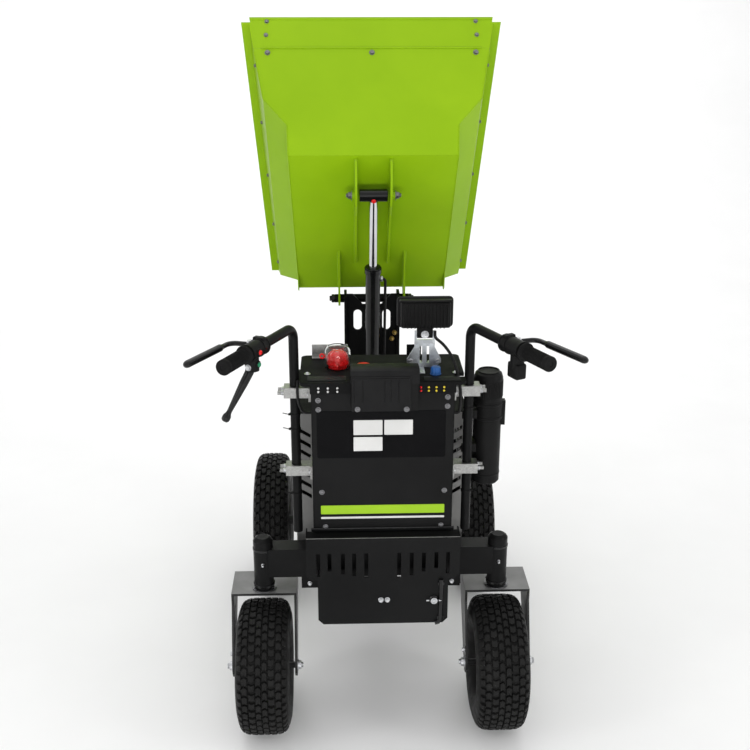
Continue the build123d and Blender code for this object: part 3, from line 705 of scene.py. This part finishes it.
for k in range(3):
    a = 2 * math.pi * k / 3
    chassis_bolts.at(hex_bolt(10, 4.5, 8, 1.2), (58 * math.cos(a + 0.5), 403, 215 + 58 * math.sin(a + 0.5) * 0.78), (0, -1, 0))
chassis_bolts.build()
pin_nuts.build()

# latch on the lower rear cover: T handle and its rod
latch = Batch("cover_latch", "chassis", GLOSS_BLACK, "black_paint")
latch.at(lathe([(0, 0), (11, 0), (11, 3), (8, 6), (8, 9), (0, 9)], 28), (119, -94, 404), REAR)
latch.add(sweep([(135, -97, 458), (135, -97, 400), (135, -97, 352), (130, -97, 344), (122, -97, 342)], 5.5, 14))
latch.add(shift(rbox(16, 5, 9, 1.5), 135, -96, 446))
latch.add(shift(rbox(16, 5, 9, 1.5), 135, -96, 356))
latch.build()
latch_z = Batch("cover_latch_key", "chassis", ZINC, "zinc")
latch_z.at(button_bolt(5.5, 3.6, 8, 1.2), (119, -103, 404), REAR)
latch_z.add(sweep([(101, -101, 404), (108, -101, 404)], 1.6, 10)).add(sweep([(130, -101, 404), (136, -101, 404)], 1.6, 10))
latch_z.build()

# rolled edge on top of the lower rear cover, drawn as a light metal strip that is a painted highlight of the edge, and
# its turned-in seams
edge = Batch("cover_edge_highlight", "chassis", ALU, "zinc")
edge.add(sweep([(-177, -92.2, 565), (177, -92.2, 565)], 1.7, 12))
edge.build()
hem = Batch("cover_hem", "chassis", GLOSS_BLACK, "black_paint")
hem.add(shift(rbox(330, 3.0, 9, 1.2), 0, -61.5, 573))
hem.build()

# ---------------------------------------------------- panel: plate and stripes
def decal(name, mat, x0, x1, z0, z1, y, t, r, slot="black_plastic"):
    b = Batch(name, "chassis", mat, slot)
    pts = []
    for cx, cz, a0 in ((x1 - r, z1 - r, 0), (x0 + r, z1 - r, 90), (x0 + r, z0 + r, 180), (x1 - r, z0 + r, 270)):
        for k in range(7):
            a = math.radians(a0 + 15 * k)
            pts.append((cx + r * math.cos(a), cz + r * math.sin(a)))
    b.at(slabxy(pts, t, min(0.25, t * 0.3), 1), (0, y, 0), REAR, (1, 0, 0))
    return b.build()


decal("instruction_plate", PLATE, -148, 141, 753, 867, -60, 0.8, 5)
decal("plate_field_1", WHITE, -66, -1, 809, 845, -60.8, 0.3, 1.5)
decal("plate_field_2", WHITE, 3, 67, 809, 845, -60.8, 0.3, 1.5)
decal("plate_field_3", WHITE, -66, -1, 770, 804, -60.8, 0.3, 1.5)
decal("panel_stripe_wide", STRIPE, -142, 142, 612, 634, -60, 0.4, 2.0, "lime_paint")
decal("panel_stripe_thin", WHITE, -142, 142, 600, 605, -60, 0.4, 1.5)

# -------------------------------------------------------------------- console
bin_ = Batch("binnacle_hood", "chassis", HOOD, "black_plastic")
prof = [(-83, 938), (-84, 958), (-81, 968), (-73, 972), (-40, 969.5), (-26, 966.5), (-19.4, 950), (-19.4, 935.4), (-30, 935.4), (-34, 950), (-72, 951), (-77, 938)]
v, f = [], []
xs = [-71.5, -70.2, -38, 4, 44, 78.2, 79.5]
for x in xs:
    k = 0.96 if abs(x - 4) > 75 else 1.0
    for y, z in prof:
        v.append((x, y, 935 + (z - 935) * k))
c = len(prof)
for i in range(len(xs) - 1):
    for j in range(c):
        m = (j + 1) % c
        f.append((i * c + j, i * c + m, (i + 1) * c + m, (i + 1) * c + j))
f.append(tuple(range(c)))
f.append(tuple(range((len(xs) - 1) * c + c - 1, (len(xs) - 1) * c - 1, -1)))
bin_.add((v, f))
bin_.add(shift(rbox(131, 4, 82, 1.5), -4.5, -84.0, 916))
for x in (-65, -45, 3, 17, 34):
    bin_.add(shift(rbox(2.0, 2.0, 52, 0.6, 1), x, -86.4, 921))
bin_.add(shift(rbox(125, 3, 3, 0.8), -4.5, -86.2, 951))
bin_.build()

pads = Batch("control_pads", "chassis", HOOD, "black_plastic")
pads.add(shift(rbox(86, 30, 1.6, 0.6), -124, -36, 935.8))
pads.add(shift(rbox(80, 30, 1.6, 0.6), 132, -44, 935.8))
pads.build()
lamps_w = Batch("pilot_lamps_white", "chassis", WHITE, "black_plastic")
lamps_y = Batch("pilot_lamps_yellow", "chassis", YELLOW, "black_plastic")
lamps_r = Batch("pilot_lamps_red", "chassis", RED, "red_plastic")
dome = lathe([(0, 0), (2.5, 0), (2.5, 0.8), (1.9, 1.8), (0.9, 2.3), (0, 2.4)], 20)
for z in (915, 923):
    for x in (-143, -122, -101):
        lamps_w.at(dome, (x, -64, z), REAR)
    for x in (84, 101, 118, 135):
        (lamps_r if x == 84 else lamps_y).at(dome, (x, -64, z), REAR)
lamps_r.at(lathe([(0, 0), (22, 0), (22, 3), (20, 7), (14, 10.4), (7, 11.7), (0, 12)], 40), (-41, 30, 935), (0, 0, 1))
lamps_w.build()
lamps_y.build()
lamps_r.build()
knob = Batch("rotary_knob", "chassis", BLUE, "black_plastic")
kp = []
for k in range(36):
    a = 2 * math.pi * k / 36
    kp.append(11.0 + (0.9 if k % 3 == 0 else 0.0))
v, f = [], []
for z, sc in ((0, 1.08), (2, 1.08), (3, 0.98), (15, 0.92), (17.5, 0.82), (18, 0.6)):
    for k in range(36):
        a = 2 * math.pi * k / 36
        v.append((kp[k] * sc * math.cos(a), kp[k] * sc * math.sin(a), z))
for j in range(5):
    for k in range(36):
        m = (k + 1) % 36
        f.append((j * 36 + k, j * 36 + m, (j + 1) * 36 + m, (j + 1) * 36 + k))
f.append(tuple(range(35, -1, -1)))
f.append(tuple(range(180, 216)))
knob.at((v, f), (120, -12, 935), (0, 0, 1))
knob.build()
# left part of the standing plate behind the console in light grey metal: painted reflection at a grazing angle; the
# right part (cable_plate) stays black
lit_plate = Batch("plate_lit_left_part", "chassis", ALU, "zinc")
lit_plate.add(shift(rbox(84, 3, 31, 1.0), -118, 113.5, 950.5)).add(shift(rbox(84, 14, 3, 1.0), -118, 107, 936.5))
lit_plate.build()
tabp = Batch("cable_plate", "chassis", BLACK, "black_paint")
tabp.add(shift(rbox(34, 3, 29, 1.0), 79, 113.5, 949.5)).add(shift(rbox(34, 14, 3, 1.0), 79, 107, 936.5))
tabp.build()
BRASS = make_zinc("brass_fitting", (0.66, 0.47, 0.16), 420.0, (0.26, 0.40))
tabb = Batch("cable_plate_bolt", "chassis", ZINC, "zinc")
tabb.at(hex_bolt(10, 4.5, 7.5, 1.2), (86, 112, 952), REAR)
tabb.build()
guard = Batch("stop_guard", "chassis", CLEAR, "black_plastic")
guard.at(ring_solid([(27.4, 0), (29.6, 0), (29.8, 30), (28.6, 42), (24.5, 48.5), (21, 50.5), (21, 48.5), (23.6, 46.6), (26.8, 41), (27.6, 30)], 56), (-100, 42, 935.0), (0, 0, 1))
guard.build()
tab = Batch("stop_guard_hinge", "chassis", RED, "red_plastic")
tab.at(ring_solid([(3.2, -2), (6.2, -2), (6.2, 2), (3.2, 2)], 24), (-135.4, 42, 962), (0, 1, 0))
tab.build()
mark = Batch("stop_arrow", "chassis", WHITE, "black_plastic")
for k in range(3):
    a = 2 * math.pi * k / 3 + 0.4
    mark.at(rbox(7, 2.2, 0.8, 0.3, 1), (-100 + 9.5 * math.cos(a), 42 + 9.5 * math.sin(a), 935 + 39.8), (0, 0, 1), (-math.sin(a), math.cos(a), 0))
mark.build()

# ----------------------------------------------------------------- work light
lamp = Batch("work_light_body", "chassis", PLASTIC, "black_plastic")
lamp.add(shift(rbox(128, 20, 72, 9, 4), 99, 50, 1063))
lamp.add(shift(rbox(112, 26, 60, 5, 3), 99, 32, 1062))
for k in range(13):
    lamp.add(shift(rbox(3.0, 14, 56 - (6 if k in (0, 12) else 0), 1.2, 2), 99 + (k - 6) * 8.2, 22, 1061))
lamp.add(shift(rbox(118, 16, 5, 2.0), 99, 28, 1095))
lamp.add(shift(rbox(36, 12, 24, 1.5), 98, 36, 1018))
lamp.build(["work_light"])
lens = Batch("work_light_lens", "chassis", LENS, "black_plastic")
lens.add(shift(rbox(112, 2.4, 58, 1.0, 2), 99, 60.6, 1063))
lens.build()
strap = Batch("light_bracket_bolts", "chassis", ZINC, "zinc")
for x in (88, 112):
    strap.at(hex_bolt(10, 5, 8, 1.2), (x, 51, 938), (0, 0, 1))
for x in (67, 127):
    strap.at(hex_bolt(8, 4, 6.0, 1.0), (x, 34, 951), REAR)
strap.at(hex_bolt(13, 6, 9, 1.4), (98, 30, 1015), REAR)
strap.build()
foot = Batch("light_bracket_strap", "chassis", GALV, "zinc")
foot.add(shift(rbox(12, 46, 2.4, 0.6), 91, 12, 936.4))
foot.build()

# ----------------------------------------------------------------- handlebars
bl = math.hypot(130, 268)
dx, dy = 130 / bl, -268 / bl


def on_bar(t, s, z=1045.0):
    return (s * (198 + dx * t), dy * t, z)


grip = Batch("ribbed_grips", "chassis", RUBBER, "grip_rubber", 40)
for s in (-1, 1):
    prof = [(11.2, 209), (20.3, 209), (20.5, 211), (19.4, 213.6), (15.6, 215.5)]
    a = 217.0
    while a < 281:
        prof += [(14.9, a), (14.9, a + 1.4), (16.2, a + 2.0), (16.2, a + 3.6)]
        a += 4.2
    prof += [(15.4, 285.5), (16.4, 287), (16.4, 295), (15.4, 297.0), (6, 297.2), (5.4, 296.0), (0, 296.0)]
    grip.at(lathe(prof, 40), (s * 198, 0, 1045), (s * dx, dy, 0))
grip.build(["grips"])
pods = Batch("pod_buttons_red", "chassis", RED, "red_plastic")
podg = Batch("pod_buttons_green", "chassis", GREEN, "black_plastic")
podk = Batch("pod_details", "chassis", PLASTIC, "black_plastic")
btn = lathe([(0, -2), (5.4, -2), (5.4, 3.0), (4.6, 4.6), (2.5, 5.4), (0, 5.6)], 24)
bez = ring_solid([(5.6, -2), (8.0, -2), (8.0, 1.6), (7.2, 2.4), (5.6, 2.4)], 28)
p = Vector(on_bar(182, -1))
inb = Vector((-dy, -dx, 0))
pods.at(btn, tuple(p + inb * 18.4), tuple(inb))
podk.at(bez, tuple(p + inb * 18.4), tuple(inb))
podg.at(btn, tuple(p + inb * 14.6 + Vector((0, 0, -27))), tuple(inb))
podk.at(bez, tuple(p + inb * 14.6 + Vector((0, 0, -27))), tuple(inb))
for s in (-1, 1):
    for t in (138, 158, 202):
        podk.at(ring_solid([(11.2, -1.2), (20.2, -1.2), (20.2, 1.2), (11.2, 1.2)], 36), on_bar(t, s), (s * dx, dy, 0))
    q = Vector(on_bar(148, s))
    podk.add(turn(rbox(15, 26, 9, 2.5, 3), Matrix.Translation(tuple(q + Vector((0, 0, 17)))) @ Matrix.Rotation(math.atan2(dy, s * dx), 4, "Z")))
q = Vector(on_bar(182, 1))
podk.add(turn(rbox(36, 26, 34, 4, 3), Matrix.Translation(tuple(q + Vector((0, 0, -48)))) @ Matrix.Rotation(math.atan2(dy, dx), 4, "Z")))
pods.build()
podg.build()
podk.build()
lever = Batch("lever_pivots", "chassis", ZINC, "zinc")
for s in (-1, 1):
    lever.at(hex_bolt(10, 4, 7, 1.0), tuple(Vector((s * 284, -124.7, 1051.6))), (0, 0, 1))
lever.at(hex_bolt(10, 4, 7, 1.0), tuple(Vector(on_bar(182, -1)) + Vector((-7.0, -12.4, -32))), (-0.49, -0.87, 0))
lever.build()
ties = Batch("cable_ties", "chassis", PLASTIC, "black_plastic")
for s, zs in ((-1, (838, 802, 640)), (1, (850, 640))):
    for z in zs:
        ties.at(ring_solid([(11.1, -2), (12.4, -2), (12.4, 2), (11.1, 2)], 32), (s * 198, 0, z), (0, 0, 1))
        ties.add(turn(rbox(5, 4, 5, 0.6, 1), Matrix.Translation((s * 211, -3, z))))
        ties.add(sweep([(s * 212, -4, z), (s * 220, -6, z + 3), (s * 226, -7, z + 5)], 1.0, 8))
ties.build()

# ------------------------------------------------------------- document tube
can = Batch("document_tube_details", "chassis", PLASTIC, "black_plastic")
can.at(ring_solid([(35.0, 803), (36.4, 804), (36.4, 809), (35.0, 810)], 64), (250, 58, 0), (0, 0, 1))
can.at(ring_solid([(35.0, 838), (36.4, 839), (36.4, 843), (35.0, 844)], 64), (250, 58, 0), (0, 0, 1))
can.at(ring_solid([(24.0, 915.6), (26.0, 915.6), (25.4, 918.2), (22.4, 918.2), (21.8, 915.6)], 48), (250, 58, 0), (0, 0, 1))
for k in range(40):
    a = 2 * math.pi * k / 40
    can.at(rbox(1.6, 3.0, 40, 0.6, 1), (250 + 34.2 * math.cos(a), 58 + 34.2 * math.sin(a), 876), (0, 0, 1), (math.cos(a), math.sin(a), 0))
can.at(ring_solid([(33.0, 660), (33.9, 661), (33.9, 664), (33.0, 665)], 64), (250, 58, 0), (0, 0, 1))
can.build()

# --------------------------------------------------------------------- casters
for s, side in ((-1, "left"), (1, "right")):
    cx = s * 288
    b = Batch(f"{side}_caster_axle_nuts", f"{side}_caster", ZINC, "zinc")
    for d in (-1, 1):
        b.at(nut(19, 9, 7, 5), (cx + d * 80, 0, 165), (d, 0, 0))
        b.at(lathe([(0, 0), (15, 0), (15, 2), (0, 2)], 32), (cx + d * 80, 0, 165), (d, 0, 0))
    b.at(hex_bolt(10, 5, 8, 1.2), (cx - 80, 6, 196), (-1, 0, 0))
    b.build()
    w = Batch(f"{side}_caster_washer", f"{side}_caster", STEEL, "zinc")
    w.at(ring_solid([(15.2, 351.2), (30, 351.2), (30, 354.5), (15.2, 354.5)], 48), (cx, 60, 0), (0, 0, 1))
    w.build()
    g = Batch(f"{side}_stem_cap", "chassis", GLOSS_BLACK, "black_paint")
    g.at(ring_solid([(23.9, 360), (26.2, 361), (26.2, 367), (23.9, 368)], 56), (cx, 60, 0), (0, 0, 1))
    g.at(ring_solid([(23.9, 458), (25.4, 459), (25.4, 464), (23.9, 465)], 56), (cx, 60, 0), (0, 0, 1))
    g.build()
    z = Batch(f"{side}_grease_nipple", "chassis", ZINC, "zinc")
    z.at(lathe([(0, 0), (4, 0), (4, 3), (2.4, 5), (3.2, 8), (2.2, 11), (0, 11.6)], 16), (cx, 36.4, 428), REAR)
    z.build()

# -------------------------------------------------------------------- cylinder
B0 = (760.0, 592.0)
CD = (-0.24214490531152286, 0.970240096487294)


def on_cyl(t, x=0.0, n=0.0):
    return (x, B0[0] + CD[0] * t - CD[1] * n, B0[1] + CD[1] * t + CD[0] * n)


AX = (0, CD[0], CD[1])
rodp = Batch("piston_rod", "cylinder_rod", CHROME, "chrome_rod", 30)
rodp.at(lathe([(0, 246), (10.5, 246), (11.4, 247), (11.4, 640)], 40), on_cyl(0), AX)
rodp.build(["cylinder_rod"])
eye = Batch("rod_eye", "cylinder_rod", GLOSS_BLACK, "black_paint", 30)
eye.at(ring_solid([(10.6, -38), (15.8, -38), (17, -36.8), (17, 36.8), (15.8, 38), (10.6, 38)], 48), on_cyl(650.437), (1, 0, 0))
eye.at(lathe([(0, 634), (12.8, 634), (13.6, 635), (13.6, 639), (12.8, 641), (0, 641)], 36), on_cyl(0), AX)
eye.build()
cap = Batch("rod_eye_plug", "cylinder_rod", RED, "red_plastic")
cap.at(lathe([(0, -2), (6.5, -2), (6.5, 2.0), (5.4, 4.0), (3.0, 5.0), (0, 5.2)], 24), on_cyl(640, 0, 13.0), (0, -CD[1], CD[0]))
cap.build()
gland = Batch("barrel_gland", "cylinder_barrel", GLOSS_BLACK, "black_paint")
gland.at(ring_solid([(11.9, 430), (21.4, 430), (22.2, 431), (21.6, 433.4), (14, 435), (11.9, 435)], 48), on_cyl(0), AX)
gland.at(ring_solid([(20.9, 60), (22.2, 61), (22.2, 66), (20.9, 67)], 48), on_cyl(0), AX)
gland.build()
fit_ = Batch("hose_fittings", "cylinder_barrel", ZINC, "zinc")
for t in (396, 62):
    fit_.at(polar_stack([hex_ring(7.6, 8.4, 0), hex_ring(7.6, 8.8, 1), hex_ring(7.6, 8.8, 5), hex_ring(7.6, 8.2, 6)]), on_cyl(t, 21.6), (1, 0, 0))
fit_.build()
brass = Batch("tower_hose_fittings", "chassis", BRASS, "zinc")
for x, z in ((66, 788), (58, 770)):
    brass.at(polar_stack([hex_ring(6.5, 7.1, 0), hex_ring(6.5, 7.5, 1), hex_ring(6.5, 7.5, 6), hex_ring(6.5, 7.0, 7)]), (x, 758, z), REAR)
    brass.at(lathe([(0, 6.5), (4.2, 6.5), (4.2, 9), (5.0, 10), (4.0, 12), (5.0, 13), (4.0, 15), (2.4, 15.6), (0, 15.6)], 20), (x, 758, z), REAR)
brass.build()

# ------------------------------------------------------------------------ skip
A = math.radians(60)
FW = (math.cos(A), -math.sin(A))
UP = (math.sin(A), math.cos(A))
LIP = (800 + 45 * UP[0], 881 + 45 * UP[1])
L = 493.0
FOLD = (LIP[0] - L * FW[0], LIP[1] - L * FW[1])


def sk(u, x, h):
    return Vector((x, FOLD[0] + u * FW[0] + h * UP[0], FOLD[1] + u * FW[1] + h * UP[1]))


def skd(u, x, h):
    return Vector((x, u * FW[0] + h * UP[0], u * FW[1] + h * UP[1]))


COT = 1 / math.tan(math.radians(60))
TAPER = 0.0223


def side_x(u, h, level):
    """Outer face of the side wall at u, h, for each of its three bands."""
    x = (226 + 0.0267 * h, 226 + 2 + 0.984 * (h - 75), 226 + 64 + 0.192 * (h - 138))[level]
    return x - TAPER * u


def rim_h(u):
    return 263.0 - 0.132 * (u + 152)


def ext_h(u):
    return 322.0 - 0.168 * (u + 152)


REAR_N = skd(-math.sin(math.radians(60)), 0, -math.cos(math.radians(60)))
sb = Batch("skip_bolts", "skip", STEEL, "zinc")
for x in (-280, 0, 280):
    h = 252
    sb.at(hex_bolt(10, 5.0, 7.5, 1.2), tuple(sk(-COT * h, x, h)), tuple(REAR_N))
for s in (-1, 1):
    for x, h in ((282, 330), (284, 296)):
        sb.at(hex_bolt(8, 4.0, 6.0, 1.0), tuple(sk(-COT * h, s * x, h)), tuple(REAR_N))
    nrm = skd(TAPER, s * 1.0, -0.192)
    for u in (-110, 60, 230, 400, 540):
        h = rim_h(u) - 12
        sb.at(hex_bolt(8, 4.0, 6.0, 1.0), tuple(sk(u, s * side_x(u, h, 2), h)), tuple(nrm))
    # nuts on the pin ends of the lower brackets
    eye_u = L - 395.0
    sb.at(nut(17, 9, 6, 5), tuple(sk(eye_u, s * 60, -45)), (s, 0, 0))
    sb.at(lathe([(0, 0), (14, 0), (14, 2), (0, 2)], 28), tuple(sk(eye_u, s * 58.2, -45)), (s, 0, 0))
sb.build()

weld = Batch("skip_welds", "skip", LIME, "lime_paint", 60)


def bead(a, b, r=2.2, step=5.0):
    """Weld seam: a string of small overlapping humps."""
    a, b = Vector(a), Vector(b)
    n = max(4, int((b - a).length / step) * 2)
    pts = [a + (b - a) * (k / n) for k in range(n + 1)]
    weld.add(sweep(pts, [r * (1.0 if k % 2 else 0.78) for k in range(n + 1)], 8))


for s in (-1, 1):
    # floor to side, side folds to rear wall
    bead(sk(0, s * 226, 0), sk(L, s * (226 - TAPER * L), 0), 1.8)
    bead(sk(-COT * 2, s * side_x(0, 2, 0), 2), sk(-COT * 75, s * side_x(-43, 75, 0), 75), 1.8)
    bead(sk(-COT * 75, s * side_x(-43, 75, 1), 75), sk(-COT * 138, s * side_x(-80, 138, 1), 138), 1.8)
    bead(sk(-COT * 138, s * side_x(-80, 138, 2), 138), sk(-COT * 255, s * side_x(-147, 255, 2), 255), 1.8)
    # bracket feet
    for x in (44, 50):
        bead(sk(12, s * x, -0.6), sk(L - 104, s * x, -0.6), 2.4)
    for x in (92, 98):
        bead(sk(L - 146, s * x, -0.6), sk(L - 8, s * x, -0.6), 2.4)
weld.build()

# hem of the extension, folded gussets under the front corners
hems = Batch("skip_hems", "skip", LIME, "lime_paint", 40)
hb = 341.0
xb = 226 + 64 + 0.192 * (hb - 138) + TAPER * COT * hb - 4
hems.add(sweep([sk(-COT * hb + 3.4, -xb + 4, hb - 4.4), sk(-COT * hb + 3.4, xb - 4, hb - 4.4)], 3.2, 14))
hems.add(sweep([sk(-COT * 263 - 1.2, -296, 263), sk(-COT * 263 - 1.2, 296, 263)], 2.2, 12))
for s in (-1, 1):
    pts = [sk(L - 62, s * 214, -0.2), sk(L - 4, s * 213, -0.2), sk(L - 4, s * 213, -16), sk(L - 16, s * 213.6, -20)]
    va = [tuple(p) for p in pts] + [tuple(p + Vector((s * 3.0, 0, 0))) for p in pts]
    hems.add((va, [(0, 1, 2, 3), (7, 6, 5, 4), (0, 4, 5, 1), (1, 5, 6, 2), (2, 6, 7, 3), (3, 7, 4, 0)]))
hems.build()

# ----------------------------------------------------------------------- stage
def make_floor_mat():
    m, nt, bs = new_mat("pale_floor")
    v = coords(nt)
    link(nt, ramp(nt, noise(nt, v, 3.0), [(0.3, (0.86, 0.86, 0.86)), (0.7, (0.88, 0.88, 0.88))]), bs.inputs["Base Color"])
    bs.inputs["Roughness"].default_value = 0.75
    bs.inputs["Specular IOR Level"].default_value = 0.15
    return m


bm = bmesh.new()
pts = [(-9.0, 0.0), (3.2, 0.0)]
for k in range(1, 13):
    a = math.radians(90 * k / 12)
    pts.append((3.2 + 2.6 * math.sin(a), 2.6 * (1 - math.cos(a))))
pts.append((5.8, 9.0))
rows = []
for x in (-14.0, 14.0):
    rows.append([bm.verts.new((x, y, z)) for y, z in pts])
for k in range(len(pts) - 1):
    fce = bm.faces.new((rows[0][k], rows[1][k], rows[1][k + 1], rows[0][k + 1]))
    fce.smooth = True
me = bpy.data.meshes.new("studio_floor")
bm.to_mesh(me)
bm.free()
me.materials.append(make_floor_mat())
floor = bpy.data.objects.new("studio_floor", me)
bpy.context.scene.collection.objects.link(floor)


def area(name, loc, target, size, power, size_y=None):
    li = bpy.data.lights.new(name, "AREA")
    li.energy = power
    li.shape = "RECTANGLE"
    li.size = size
    li.size_y = size_y or size
    o = bpy.data.objects.new(name, li)
    bpy.context.scene.collection.objects.link(o)
    o.location = loc
    o.rotation_mode = "QUATERNION"
    o.rotation_quaternion = (Vector(target) - Vector(loc)).to_track_quat("-Z", "Y")
    return o


area("key_top", (-0.4, 0.4, 4.4), (0, 0, 0.6), 3.4, 34, 3.4)
area("left_strip", (-3.2, -2.0, 2.0), (0, 0, 0.7), 0.7, 22, 2.6)
area("right_strip", (3.2, -2.0, 2.0), (0, 0, 0.7), 0.7, 22, 2.6)
area("back_sweep", (0, 3.0, 4.5), (0, 5.0, 1.2), 4.0, 90, 2.0)
area("front_fill", (0, -4.4, 1.2), (0, 0.2, 0.9), 3.4, 18, 1.6)
low = area("skip_fill", (0, -3.4, 0.6), (0, 0.2, 1.15), 1.6, 43, 0.5)
low.visible_glossy = False
low.visible_camera = False
world = bpy.data.worlds.new("studio")
world.use_nodes = True
world.node_tree.nodes["Background"].inputs["Color"].default_value = (1, 1, 1, 1)
world.node_tree.nodes["Background"].inputs["Strength"].default_value = 0.72
bpy.context.scene.world = world

cam = bpy.data.cameras.new("camera")
cam.sensor_fit = "HORIZONTAL"
cam.sensor_width = 36.0
cam.lens = 36.0 * 1100.0 / 750.0
co = bpy.data.objects.new("camera", cam)
co.location = P(-92.0, -2332.0, 1779.0)
co.rotation_euler = (math.radians(70.0), 0, math.radians(-1.87))
bpy.context.scene.collection.objects.link(co)
bpy.context.scene.camera = co
bpy.context.scene.view_settings.view_transform = "Standard"
